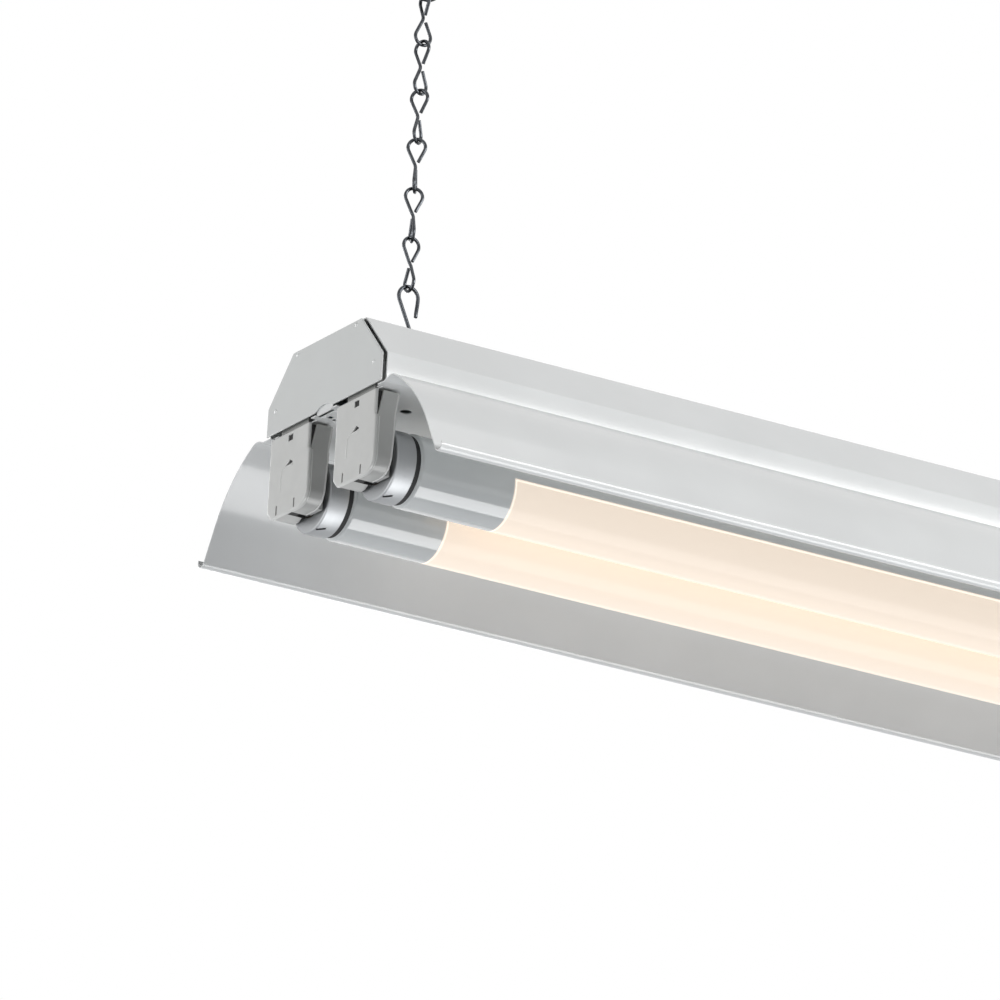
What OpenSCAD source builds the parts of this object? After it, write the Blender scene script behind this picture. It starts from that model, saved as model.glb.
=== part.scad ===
// Two-lamp hanging shop light: a folded steel housing on two chains, a wide hemmed
// reflector below it, and two straight fluorescent lamps in rotary lampholders.
// X runs along the lamps, Y across them and Z up. The origin lies on the ceiling,
// midway between the two ceiling hooks. Sizes are in millimetres and degrees.

/* [Lamps] */
// Length of a lamp between the end faces of its caps
lamp_l = 1199.4; // [900:0.1:1500]
// Outer diameter of the glass tube
lamp_d = 38.1; // [34:0.1:38.5]
// Distance between the axes of the two lamps
lamp_pitch = 64.4; // [62:0.1:68]
// Height of the lamp axes below the bottom edge of the housing
lamp_drop = 33.5; // [31:0.1:36]
// Wall of the glass tube
glass_t = 0.8; // [0.6:0.05:1.2]
// Outer diameter of a metal lamp cap
cap_d = 37.2; // [33:0.1:38]
// Length of a metal lamp cap
cap_l = 12.2; // [9:0.1:16]
// Sheet of a metal lamp cap
cap_t = 0.5; // [0.3:0.05:0.8]
// Diameter of a contact pin
pin_d = 2.35; // [2:0.05:2.6]
// Distance between the two pins of a cap
pin_pitch = 12.7; // [10:0.1:13.5]
// Length of a pin outside the cap
pin_l = 7.1; // [6:0.1:8]
// Diameter of the insulating disc that carries the pins
insulator_d = 21; // [18:0.5:24]

/* [Lampholders] */
// Depth of a lampholder along the lamp
holder_depth = 14.4; // [13.5:0.1:16]
// Thickness of its face plate
face_t = 1.6; // [1.2:0.1:2]
// Width from the lamp axis to the plain side
holder_plain_w = 18.6; // [17.5:0.1:20]
// Width from the lamp axis to the rounded side
holder_round_w = 20.4; // [19.5:0.1:22]
// Step in the rounded side near the top
holder_step_w = 3.9; // [2:0.1:5]
// Height of that step
holder_step_h = 13.6; // [8:0.1:18]
// Distance from the lamp axis down to the bottom of the holder
holder_bottom = 11.5; // [11:0.1:14]
// Radius of the large lower corner
holder_round_r = 9.5; // [5:0.5:11]
// Chamfer of the small lower corner
holder_chamfer = 5; // [2:0.1:6]
// Width of the neck that passes through the reflector
neck_w = 26.6; // [24:0.1:30]
// Height of the neck above the bottom edge of the housing
neck_h = 10; // [6:0.5:14]
// Diameter of the rotor that turns with the lamp
rotor_d = 20; // [18:0.1:21]
// Thickness of the rotor
rotor_t = 3.8; // [3:0.1:4.2]
// Side of the square hole in the face plate
face_hole = 3; // [2:0.1:4]
// Thickness of a contact strip
contact_t = 0.5; // [0.3:0.05:0.7]
// Width of a contact strip
contact_w = 2; // [1:0.1:2.4]

/* [Housing] */
// Width across the bottom
housing_w = 113.3; // [105:0.1:120]
// Width of the flat top
housing_top_w = 67.2; // [60:0.1:75]
// Height of the housing
housing_h = 41.1; // [38:0.1:50]
// Height of the upright sides
housing_side_h = 16.3; // [12:0.1:20]
// Housing sheet
housing_t = 0.8; // [0.5:0.05:1.2]
// Bend radius at mid-sheet
housing_bend_r = 1.6; // [1:0.1:3]
// Width of the flanges turned in at the bottom
flange_w = 9; // [7:0.5:12]
// Distance from the end plate's face to the hook slots
hook_x = 45.4; // [40:0.1:60]
// Distance from the end plate's face to a surface-fixing hole
fixing_x = 120; // [100:1:200]
// Diameter of a surface-fixing hole
fixing_d = 6.5; // [4:0.1:8]

/* [End plates] */
// End plate sheet
plate_t = 0.8; // [0.5:0.05:1.2]
// Depth of the rim inside the housing
rim_l = 10; // [6:0.5:16]
// Width of the arched notch in the bottom edge
notch_w = 20; // [12:0.5:22]
// Height of the arched notch
notch_h = 5.4; // [3:0.1:7]

/* [Reflector] */
// Reflector sheet
reflector_t = 0.6; // [0.4:0.05:0.9]
// Width of the flat pan beyond each side of the housing
pan_margin = 2.65; // [2.2:0.05:6]
// Bend radius at the foot of the shoulder bead
bead_foot_r = 3; // [2:0.1:4]
// Straight flank of the bead
bead_flank = 1.5; // [0.5:0.1:3]
// Rise of the shoulder bead
bead_rise = 24; // [18:0.5:26]
// Radius of the bead's crown
bead_r = 9; // [7:0.5:12]
// Slope where the wing begins
wing_start = 29; // [24:0.5:34]
// Slope where the wing ends
wing_end = 61; // [55:0.5:65]
// Straight part of the wing below the bead
wing_lead = 0.6; // [0.2:0.1:4]
// Radius of the curved wing
wing_r = 86; // [75:1:100]
// Straight part of the wing above the hem
wing_straight = 19; // [12:0.1:26]
// Radius of the curled hem at mid-sheet
hem_r = 3; // [2.4:0.1:5]
// Angle that the hem curls through
hem_curl = 176; // [120:1:190]
// Distance from the end plate's face to the first reflector screws
screw_x = 80; // [60:1:150]
// Diameter of the reflector screws
reflector_screw_d = 3.8; // [3:0.1:4.2]
// Diameter of the small round holes beside the lampholders
pan_hole_d = 6; // [3:0.1:8]
// Distance from the end plate's face to a small round hole
pan_hole_x = 31.7; // [24:0.1:38]

/* [Hooks] */
// Overall length of an S-hook
s_hook_l = 40; // [36:0.5:48]
// Overall width of an S-hook's loops
s_hook_w = 13.2; // [12:0.1:16]
// S-hook wire
s_hook_wire = 2; // [1.6:0.1:2.2]
// Length of the free end below the upper loop
s_hook_tail = 10; // [6:0.5:12]
// Radius of a ceiling hook's bowl at mid-wire
bowl_r = 8; // [7:0.1:10]
// Ceiling hook wire
hook_wire = 3.5; // [3:0.1:3.8]
// Distance from the ceiling down to the wire of the bowl
hook_drop = 22; // [20.5:0.5:30]
// Diameter of the screw that enters the ceiling
screw_d = 4.4; // [4:0.1:6]
// Length of the screw above the ceiling
screw_l = 24; // [15:1:40]
// Diameter of the collar under the ceiling
collar_d = 11; // [8:0.5:16]
// Thickness of that collar
collar_t = 1.6; // [1:0.1:3]

/* [Chains] */
// Length that one link adds to a chain
link_pitch = 26.6; // [24:0.1:30]
// Links in one chain, with the top one
link_count = 6; // [3:1:12]
// Chain wire
link_wire = 1.8; // [1.5:0.1:2.2]
// Radius of a link's loops at mid-wire
link_loop_r = 4.4; // [4.2:0.1:5]
// Turn of each link against the one below
link_twist = 18; // [0:1:22]

/* [Ballast] */
// Length of the ballast case
ballast_l = 215; // [150:1:300]
// Width of the case
ballast_w = 43; // [38:0.5:50]
// Height of the case
ballast_h = 28; // [24:0.5:30]
// Sheet of the case and its base
ballast_t = 0.9; // [0.6:0.05:1.2]
// Length of the fixing tab at each end of the base
tab_l = 13; // [11:0.5:20]
// Diameter of the fixing bolts
bolt_d = 4; // [3:0.1:5]
// Length of the bolts under the head
bolt_l = 9; // [7:0.5:12]

/* [Wiring] */
// Diameter of a lead
lead_d = 2.4; // [1.6:0.1:2.8]
// Spacing of the leads where they leave the ballast
lead_pitch = 8; // [6:0.5:9]
// Height of the lamp leads above the bottom edge of the housing
lead_z = 7; // [5.5:0.5:8]
// Length of a wire connector
nut_l = 19; // [14:0.5:24]
// Diameter of a wire connector at its skirt
nut_d = 11; // [9:0.5:12]

/* [Cable inlet] */
// Diameter of the knockout in the top of the housing
knockout_d = 22.2; // [20:0.1:28]
// Bore of the bushing
inlet_bore_d = 15; // [10:0.1:17]
// Distance of the inlet from the middle of the fixture
inlet_x = 215; // [180:1:300]
// Length of the bushing below the top of the housing
bushing_l = 7; // [4:0.5:9]
// Distance from the inlet to the hole of the ground screw
ground_step = 45; // [30:1:80]
// Diameter of that hole
ground_d = 4.2; // [3.6:0.1:5]

/* [Clearances] */
// Gap between pieces that move against each other
move_gap = 0.3; // [0.2:0.05:0.5]
// Gap between fixed pieces that lie against each other
seat_gap = 0.05; // [0.02:0.01:0.1]
// Radial play of a rotor in its lampholder
rotor_play = 0.1; // [0.05:0.01:0.1]
// Visible gap between an end plate and the housing
plate_gap = 1.2; // [0.3:0.1:1.5]

/* [Hidden] */
$fn = 64;
// Angle between the points on a bent sheet
bend_step = 6;

// The lampholders and the lamps set the length of the fixture
fixture_l = lamp_l + 2 * (holder_depth + move_gap);
lamp_y = lamp_pitch / 2;
cap_x = holder_depth + move_gap;

// Heights above the bottom edge of the housing, from the hook slots up
sheet_under_z = housing_h - housing_t;
s_hook_r = (s_hook_w - s_hook_wire) / 2;
bridge_gap = 0.5;
s_hook_low_z = sheet_under_z - bridge_gap - s_hook_wire / 2;
s_hook_high_z = s_hook_low_z + s_hook_l - s_hook_wire;
link_gap = 0.1;
link_l = link_pitch + link_wire + link_gap;
chain_low_z = s_hook_high_z - s_hook_wire / 2 - move_gap - link_wire / 2;
chain_swing_low_z = chain_low_z + (link_count - 1) * link_pitch;
top_link_high_z = chain_swing_low_z - (move_gap - link_gap) + link_l;
hook_bowl_z = top_link_high_z - link_wire / 2 - move_gap - hook_wire / 2;
ceiling_z = hook_bowl_z + hook_drop;

// Colours of the finishes
zinc = "#9c9fa0";
white_paint = "#e0e1e0";
grey_paint = "#bdbfbe";
holder_plastic = "#b9bab9";
pale_plastic = "#e8e6de";
lamp_glass = "#f6ecdf";
lamp_metal = "#b0b3b5";
brass = "#b59a5b";

// Distance from a bend's start or end to its corner
function setback(r, turn) = r * tan(abs(turn) / 2);

// Points along a bent sheet. Each step is [straight, turn, radius]: it goes straight,
// then turns on an arc. A point is [y, z, heading].
function strip(steps, at, heading, k = 0) =
    k == len(steps) ? [] :
    let (
        turn = steps[k][1],
        r = steps[k][2],
        side = turn < 0 ? -1 : 1,
        bend = [at[0], at[1]] + steps[k][0] * [cos(heading), sin(heading)],
        centre = bend + side * r * [-sin(heading), cos(heading)],
        count = max(1, ceil(abs(turn) / bend_step)),
        arc = turn == 0 ? [[bend[0], bend[1], heading]] :
            [for (i = [0:count])
                let (h = heading + turn * i / count)
                [centre[0] + side * r * sin(h), centre[1] - side * r * cos(h), h]]
    )
    concat(arc, strip(steps, arc[len(arc) - 1], heading + turn, k + 1));

// A path from the middle outwards, joined to its mirror image
function both_sides(path) =
    concat([for (k = [len(path) - 1:-1:1]) [-path[k][0], path[k][1], -path[k][2]]], path);

// Outline of a sheet of thickness t along a path at mid-sheet
function sheet(path, t) =
    concat(
        [for (p = path) [p[0] - t / 2 * sin(p[2]), p[1] + t / 2 * cos(p[2])]],
        [for (k = [len(path) - 1:-1:0])
            [path[k][0] + t / 2 * sin(path[k][2]), path[k][1] - t / 2 * cos(path[k][2])]]);

// Mid-sheet path of half the housing, moved in by an inset, with flanges or without
slope = atan2(housing_h - housing_side_h, (housing_w - housing_top_w) / 2);
function housing_half(inset, flanges, low_z = 0) =
    let (
        r = housing_bend_r,
        top_y = housing_top_w / 2 - inset * tan(slope / 2),
        side_y = housing_w / 2 - inset,
        top_z = housing_h - inset,
        side_z = housing_side_h - inset * tan((90 - slope) / 2),
        chamfer_l = norm([side_y - top_y, top_z - side_z]),
        side_l = side_z - (flanges ? inset + r : low_z),
        upper = setback(r, slope),
        lower = setback(r, 90 - slope),
        steps = [
            [top_y - upper, -slope, r],
            [chamfer_l - upper - lower, slope - 90, r],
            [side_l - lower, flanges ? -90 : 0, r]
        ]
    )
    concat([[0, top_z, 0]],
        strip(flanges ? concat(steps, [[flange_w - inset - r, 0, r]]) : steps, [0, top_z], 0));

// Mid-sheet path of half the reflector: pan, shoulder bead, curved wing and curled hem
pan_z = -seat_gap - reflector_t / 2;
pan_half_w = housing_w / 2 + pan_margin;
reflector_half = concat([[0, pan_z, 0]], strip([
        [pan_half_w - setback(bead_foot_r, bead_rise), bead_rise, bead_foot_r],
        [bead_flank, -bead_rise - wing_start, bead_r],
        [wing_lead, wing_start - wing_end, wing_r],
        [wing_straight, hem_curl, hem_r]
    ], [0, pan_z], 0));

// Draws a Y-Z outline as a solid from x0 to x1
module along_x(x0, x1) {
    translate([x0, 0, 0])
        rotate([90, 0, 90])
            linear_extrude(x1 - x0)
                children();
}

// Cylinder along X about Y = 0, Z = 0
module rod_x(r, x0, x1) {
    translate([x0, 0, 0])
        rotate([0, 90, 0])
            cylinder(r = r, h = x1 - x0);
}

// Box given by its lowest and highest corners
module block(low, high) {
    translate(low)
        cube(high - low);
}

// Straight wire of diameter d from p to q
module wire(p, q, d) {
    v = q - p;
    translate(p)
        rotate([0, acos(v[2] / norm(v)), atan2(v[1], v[0])])
            cylinder(d = d, h = norm(v), $fn = 24);
}

// Directions of a path at its points, and normals carried along it without a twist
function directions(path) =
    let (last = len(path) - 1)
    [for (i = [0:last])
        let (v = path[min(i + 1, last)] - path[max(i - 1, 0)])
        v / norm(v)];
function carried(dirs, normal, i = 0) =
    i == len(dirs) ? [] :
    let (v = normal - (normal * dirs[i]) * dirs[i], n = v / norm(v))
    concat([n], carried(dirs, n, i + 1));

// Bent wire of diameter d along a path, with flat ends; across is square to its start
module tube(path, d, sides, across) {
    last = len(path) - 1;
    dirs = directions(path);
    normals = carried(dirs, across);
    rings = [for (i = [0:last], k = [0:sides - 1])
        let (a = 360 * k / sides)
        path[i] + d / 2 * (cos(a) * normals[i] + sin(a) * cross(dirs[i], normals[i]))];
    walls = [for (i = [0:last - 1], k = [0:sides - 1])
        let (a = i * sides + k, b = i * sides + (k + 1) % sides)
        each [[a, a + sides, b + sides], [a, b + sides, b]]];
    ends = [for (k = [1:sides - 2])
        each [[0, k, k + 1], [last * sides, last * sides + k + 1, last * sides + k]]];
    polyhedron(rings, concat(walls, ends));
}

// Places a piece in the fixture, with Z from the bottom edge of the housing
module fixture() {
    translate([0, 0, -ceiling_z])
        children();
}

// Places a piece at one end of the fixture, with X from the end plate's face inwards
module at_end(left) {
    rotate([0, 0, left ? 0 : 180])
        translate([-fixture_l / 2, 0, -ceiling_z])
            children();
}

// Places a piece at one end of one lamp, with the lamp's axis as X
module at_holder(left, front) {
    at_end(left)
        translate([0, left == front ? -lamp_y : lamp_y, -lamp_drop])
            children();
}

// Places a piece on one chain, at its height in the fixture's measure
module on_chain(left) {
    translate([(left ? -1 : 1) * (fixture_l / 2 - hook_x), 0, -ceiling_z])
        children();
}

// Screw hook: a screw into the ceiling, a collar, a shank and a round bowl open on one side
module ceiling_hook(left) {
    tip_l = 6;
    bowl_sweep = 300;
    shank_d = hook_wire + 0.5;
    shank_z = hook_bowl_z + 2 * bowl_r - shank_d / 2;
    color(zinc)
        on_chain(left) {
            translate([0, 0, ceiling_z])
                cylinder(d = screw_d, h = screw_l - tip_l);
            translate([0, 0, ceiling_z + screw_l - tip_l])
                cylinder(d1 = screw_d, d2 = screw_d / 4, h = tip_l);
            translate([0, 0, ceiling_z - collar_t])
                cylinder(d = collar_d, h = collar_t);
            translate([0, 0, shank_z])
                cylinder(d = shank_d, h = ceiling_z - collar_t - shank_z);
            translate([0, 0, hook_bowl_z + bowl_r])
                rotate([90, 0, 0])
                    rotate([0, 0, 90])
                        rotate_extrude(angle = bowl_sweep)
                            translate([bowl_r, 0])
                                circle(d = hook_wire);
        }
}

// Path of a figure-eight link of one wire about its middle. The upper loop lies in the
// X-Z plane and the lower one in the Y-Z plane, and both ends of the wire stop short of
// the waist. Each loop has two straight sides that touch its round end.
link_turn = 20;
function link_path() =
    let (
        w = link_wire * 0.53,
        end_z = 0.9 * link_wire,
        centre_z = link_l / 2 - link_loop_r,
        reach = atan2(w, centre_z) + 90 - asin(link_loop_r / norm([w, centre_z])),
        count = ceil((360 - 2 * reach) / link_turn),
        arc = [for (i = [0:count])
            let (h = reach + (360 - 2 * reach) * i / count)
            [link_loop_r * sin(h), centre_z - link_loop_r * cos(h)]]
    )
    concat(
        [[w, 0, end_z]],
        [for (p = arc) [p[0], 0, p[1]]],
        [[-w, 0, end_z], [-0.7 * w, -0.7 * w, 0], [0, -w, -end_z]],
        [for (p = arc) [0, -p[0], -p[1]]],
        [[0, w, -end_z]]);

// Link whose lowest wire has its middle at height low_z
module link(low_z, turn) {
    translate([0, 0, low_z + link_l / 2])
        rotate([0, 0, turn])
            tube(link_path(), link_wire, 8, [0, 1, 0]);
}

module top_link(left) {
    color(zinc)
        on_chain(left)
            link(top_link_high_z - link_l, -(link_count - 1) * link_twist);
}

module chain_links(left) {
    color(zinc)
        on_chain(left)
            for (k = [0:link_count - 2])
                link(chain_low_z + k * link_pitch, -k * link_twist);
}

// Half the path of an S-hook about its middle: the free end, the loop and the shank
hook_turn = 15;
function s_hook_half() =
    let (
        centre_z = (s_hook_high_z - s_hook_low_z) / 2 - s_hook_r,
        lean = asin(s_hook_r / centre_z),
        count = ceil((180 + lean) / hook_turn)
    )
    concat(
        [[s_hook_r - s_hook_tail * sin(lean) / 2, 0, centre_z - s_hook_tail]],
        [for (i = [0:count])
            let (h = (180 + lean) * i / count)
            [s_hook_r * cos(h), 0, centre_z + s_hook_r * sin(h)]]);

// S-hook: two open loops joined by a straight slanting shank
module s_hook(left) {
    half = s_hook_half();
    color(zinc)
        on_chain(left)
            translate([0, 0, (s_hook_high_z + s_hook_low_z) / 2])
                rotate([0, 0, left ? 0 : 180])
                    tube(concat(half, [for (k = [len(half) - 1:-1:0]) -half[k]]),
                        s_hook_wire, 12, [0, 1, 0]);
}

// Slots for an S-hook, on both sides of the bridge that it carries
slot_w = 2 * s_hook_wire;
bridge_w = 2.4;
module hook_slots() {
    inner_x = bridge_w / 2;
    outer_x = s_hook_r + s_hook_wire / 2 + 3 * move_gap;
    for (s = [-1, 1])
        translate([hook_x + s * (inner_x + outer_x) / 2, 0, sheet_under_z - housing_t])
            translate([-(outer_x - inner_x) / 2, -slot_w / 2, 0])
                cube([outer_x - inner_x, slot_w, 3 * housing_t]);
}

// Round hole through the top of the housing
module top_hole(x, d) {
    translate([x, 0, sheet_under_z - housing_t])
        cylinder(d = d, h = 3 * housing_t);
}

tab_hole_x = (ballast_l + tab_l) / 2;
ground_x = inlet_x + ground_step;
// Screws that hold the reflector to the flanges
screw_spots = [-fixture_l / 2 + screw_x, 0, fixture_l / 2 - screw_x];
reflector_screw_y = housing_w / 2 - flange_w / 2 - 0.6;
module housing() {
    color(white_paint)
        fixture()
            difference() {
                along_x(plate_t + plate_gap - fixture_l / 2, fixture_l / 2 - plate_t - plate_gap)
                    polygon(sheet(both_sides(housing_half(housing_t / 2, true)), housing_t));
                for (a = [0, 180])
                    rotate([0, 0, a])
                        translate([-fixture_l / 2, 0, 0]) {
                            hook_slots();
                            top_hole(fixing_x, fixing_d);
                        }
                for (s = [-1, 1])
                    top_hole(s * tab_hole_x, bolt_d + 2 * seat_gap);
                top_hole(inlet_x, knockout_d);
                top_hole(ground_x, ground_d);
                for (x = screw_spots, s = [-1, 1])
                    translate([x, s * reflector_screw_y, -housing_t])
                        cylinder(d = reflector_screw_d + 2 * seat_gap, h = 3 * housing_t);
            }
}

// End plate: a flat face with an arched notch, and a rim that fits inside the housing
module end_plate(left) {
    outer = both_sides(housing_half(0, false));
    rim_low_z = housing_t / 2 + housing_bend_r + seat_gap;
    notch_r = (notch_w * notch_w / 4 + notch_h * notch_h) / (2 * notch_h);
    color(grey_paint)
        at_end(left) {
            difference() {
                along_x(0, plate_t)
                    polygon([for (p = outer) [p[0], p[1]]]);
                translate([0, 0, notch_h - notch_r])
                    rod_x(notch_r, -plate_t, 2 * plate_t);
            }
            along_x(plate_t, plate_t + rim_l)
                polygon(sheet(both_sides(
                    housing_half(housing_t + seat_gap + plate_t / 2, false, rim_low_z)), plate_t));
        }
}

// Cut-outs in one end of the reflector, for two lampholders and two small holes
tongue_x = plate_t + move_gap;
tongue_w = notch_w - 4;
module reflector_cuts() {
    for (s = [-1, 1]) {
        translate([0, s * lamp_y, 0]) {
            block([-1, -holder_round_w - move_gap, -1],
                [face_t + move_gap, holder_plain_w + move_gap, 1]);
            block([-1, -neck_w / 2 - move_gap, -1],
                [holder_depth - 1 + move_gap, neck_w / 2 + move_gap, 1]);
        }
        translate([pan_hole_x, s * (lamp_y - 5), -1])
            cylinder(d = pan_hole_d, h = 2);
    }
    block([-1, -tongue_w / 2, -1], [tongue_x, tongue_w / 2, 1]);
}

module reflector() {
    color(white_paint)
        fixture()
            difference() {
                union() {
                    along_x(-fixture_l / 2, fixture_l / 2)
                        polygon(sheet(both_sides(reflector_half), reflector_t));
                    for (a = [0, 180])
                        rotate([0, 0, a])
                            translate([-fixture_l / 2, 0, 0])
                                block([tongue_x, -tongue_w / 2, pan_z],
                                    [tongue_x + reflector_t, tongue_w / 2, notch_h]);
                }
                for (a = [0, 180])
                    rotate([0, 0, a])
                        translate([-fixture_l / 2, 0, 0])
                            reflector_cuts();
                for (x = screw_spots, s = [-1, 1])
                    translate([x, s * reflector_screw_y, -1])
                        cylinder(d = reflector_screw_d + 2 * seat_gap, h = 2);
            }
}

// Pan-head screws up through the pan into the housing's flanges
module reflector_screws() {
    head_d = 8;
    head_h = 2.2;
    screw_reach = 8;
    top = -seat_gap - reflector_t - seat_gap;
    color(zinc)
        fixture()
            for (x = screw_spots, s = [-1, 1])
                translate([x, s * reflector_screw_y, 0])
                    difference() {
                        union() {
                            translate([0, 0, top - head_h])
                                cylinder(d1 = head_d - 1.6, d2 = head_d, h = head_h);
                            translate([0, 0, top])
                                cylinder(d = reflector_screw_d, h = screw_reach);
                        }
                        for (a = [0, 90])
                            rotate([0, 0, a])
                                block([-head_d / 3, -0.5, top - head_h - 1],
                                    [head_d / 3, 0.5, top - head_h / 2]);
                    }
}

// Side view of a lampholder about the lamp's axis, moved in by an inset. The top is
// narrower on the rounded side, down to the step.
holder_top = lamp_drop + pan_z - reflector_t / 2 - move_gap;
module holder_outline(inset, top) {
    plain_y = holder_plain_w - inset;
    round_y = holder_round_w - inset;
    low_z = holder_bottom - inset;
    r = holder_round_r - inset;
    difference() {
        polygon(concat(
            [[-round_y, top], [plain_y, top], [plain_y, holder_chamfer - low_z]],
            [[plain_y - holder_chamfer, -low_z]],
            [for (a = [0:9:90])
                [r - round_y - r * sin(a), r - low_z - r * cos(a)]]));
        translate([-round_y - 1, holder_top - holder_step_h])
            square([holder_step_w + 1, holder_step_h + neck_h]);
    }
}

// Slot that the lamp's pins pass through, from the axis down
pin_slot_w = pin_d + 4 * move_gap;
module pin_slot(x0, x1) {
    block([x0, -pin_slot_w / 2, -holder_bottom - 1], [x1, pin_slot_w / 2, 0]);
}

// Face plate of a lampholder, the side that shows at the end of the fixture
module holder_face(left, front) {
    slit_w = 1;
    slit_l = 6;
    slit_y = 8.7;
    groove_d = 1.4;
    face_top = lamp_drop - plate_gap - move_gap;
    color(holder_plastic)
        at_holder(left, front)
            difference() {
                along_x(0, face_t)
                    holder_outline(0, face_top);
                block([-1, -0.8 - face_hole / 2, face_top - 5], [2 * face_t, -0.8 + face_hole / 2,
                    face_top - 5 + face_hole]);
                for (y = [-slit_y, slit_y])
                    block([-1, y - slit_w / 2, 1.5 - holder_bottom],
                        [face_t / 2, y + slit_w / 2, 1.5 - holder_bottom + slit_l]);
                translate([0, 0, 14])
                    rod_x(groove_d / 2, -1, 2 * face_t);
            }
}

// Body of a lampholder with its neck, rotor bore, contact chamber and pin slot
body_x0 = face_t + seat_gap;
body_x1 = holder_depth - 0.4;
rotor_x1 = body_x1 - 0.2;
rotor_x0 = rotor_x1 - rotor_t;
chamber_x0 = cap_x - pin_l - 2 * move_gap;
contact_y = pin_pitch / 2 + pin_d / 2 + 2 * move_gap;
module holder_body(left, front) {
    neck_top = lamp_drop + neck_h;
    chamber_half = contact_y + contact_t + 2 * move_gap;
    sweep_r = (pin_pitch + pin_d) / 2 + move_gap;
    color(holder_plastic)
        at_holder(left, front)
            difference() {
                union() {
                    along_x(body_x0, body_x1)
                        holder_outline(0.4, holder_top);
                    block([body_x0 + 1.2, -neck_w / 2, 0], [body_x1 - 0.6, neck_w / 2, neck_top]);
                }
                rod_x(rotor_d / 2 + rotor_play, rotor_x0 - 0.1, holder_depth);
                rod_x(sweep_r, chamber_x0, rotor_x0);
                for (s = [-1, 1])
                    block([chamber_x0, s * (contact_y + contact_t / 2) - contact_t / 2 - move_gap, -4.5],
                        [chamber_x0 + contact_w + 2 * move_gap,
                            s * (contact_y + contact_t / 2) + contact_t / 2 + move_gap,
                            lamp_drop + lead_z + lead_d / 2 + move_gap]);
                pin_slot(chamber_x0, holder_depth);
                for (s = [-1, 1])
                    translate([0, s * (contact_y + contact_t / 2), lamp_drop + lead_z])
                        rod_x(lead_d / 2 + seat_gap, chamber_x0 + contact_w / 2, holder_depth);
            }
}

// Two brass strips that the pins touch, each reaching up to its lead
module contacts(left, front) {
    color(brass)
        at_holder(left, front)
            for (s = [-1, 1])
                translate([chamber_x0 + move_gap, s * (contact_y + contact_t / 2), 0])
                    block([0, -contact_t / 2, -4], [contact_w, contact_t / 2,
                        lamp_drop + lead_z + lead_d / 2]);
}

// Round rotor with a slot across it that takes both pins
module rotor(left, front) {
    slot = pin_d + 2 * move_gap;
    color(pale_plastic)
        at_holder(left, front)
            difference() {
                rod_x(rotor_d / 2, rotor_x0, rotor_x1);
                rotate([left ? 0 : 180, 0, 0])
                    block([rotor_x0 - 1, -rotor_d, -slot / 2],
                        [rotor_x1 + 1, pin_pitch / 2 + pin_d, slot / 2]);
            }
}

// Glass tube: full width between the caps, drawn in inside them, with a hole at each end
// that the stem of the cathode fills
seal_r = cap_d / 2 - cap_t - move_gap;
glass_x = cap_t + 2;
stem_r = 6;
module lamp_glass_tube(front) {
    r = lamp_d / 2;
    end_z = lamp_l / 2 - glass_x;
    shoulder_z = lamp_l / 2 - cap_l - 2 * move_gap;
    shoulder_r = 1.4;
    corner = 3;
    function wall(t) = concat(
        [[stem_r, end_z - t], [seal_r - corner, end_z - t], [seal_r - t, end_z - corner]],
        [[seal_r - t, shoulder_z - t / 2]],
        [for (a = [60:-15:0])
            [r - t - shoulder_r * (1 - cos(a)), shoulder_z - shoulder_r * (1 - sin(a)) - t / 2]]);
    outside = wall(0);
    inside = wall(glass_t);
    last = len(outside) - 1;
    color(lamp_glass)
        fixture()
            translate([0, front ? -lamp_y : lamp_y, -lamp_drop])
                rotate([0, 90, 0])
                    rotate_extrude()
                        polygon(concat(
                            outside,
                            [for (k = [last:-1:0]) [outside[k][0], -outside[k][1]]],
                            [for (k = [0:last]) [inside[k][0], -inside[k][1]]],
                            [for (k = [last:-1:0]) inside[k]]));
}

// Metal cap: a shallow cup over the end of the tube, open in the middle of its face
module lamp_cap(left, front) {
    color(lamp_metal)
        at_holder(left, front)
            difference() {
                rod_x(cap_d / 2, cap_x, cap_x + cap_l);
                rod_x(cap_d / 2 - cap_t, cap_x + cap_t, cap_x + cap_l + 1);
                rod_x(insulator_d / 2, cap_x - 1, cap_x + 1);
            }
}

// Insulating disc in the face of a cap, with a rim behind the metal and two pin holes
disc_t = cap_t + 1;
module lamp_insulator(left, front) {
    rim = 1.5;
    color(pale_plastic)
        at_holder(left, front)
            difference() {
                union() {
                    rod_x(insulator_d / 2 - seat_gap, cap_x, cap_x + disc_t);
                    rod_x(insulator_d / 2 + rim, cap_x + cap_t + seat_gap, cap_x + disc_t);
                }
                for (s = [-1, 1])
                    translate([0, s * pin_pitch / 2, 0])
                        rod_x(pin_d / 2 + seat_gap, cap_x - 1, cap_x + disc_t + 1);
            }
}

// The two contact pins of a cap, with rounded tips
module lamp_pins(left, front) {
    tip_x = cap_x - pin_l;
    color(brass)
        at_holder(left, front)
            for (s = [-1, 1])
                translate([0, s * pin_pitch / 2, 0]) {
                    rod_x(pin_d / 2, tip_x + pin_d / 2, cap_x + disc_t + seat_gap);
                    translate([tip_x + pin_d / 2, 0, 0])
                        sphere(d = pin_d, $fn = 24);
                }
}

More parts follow.
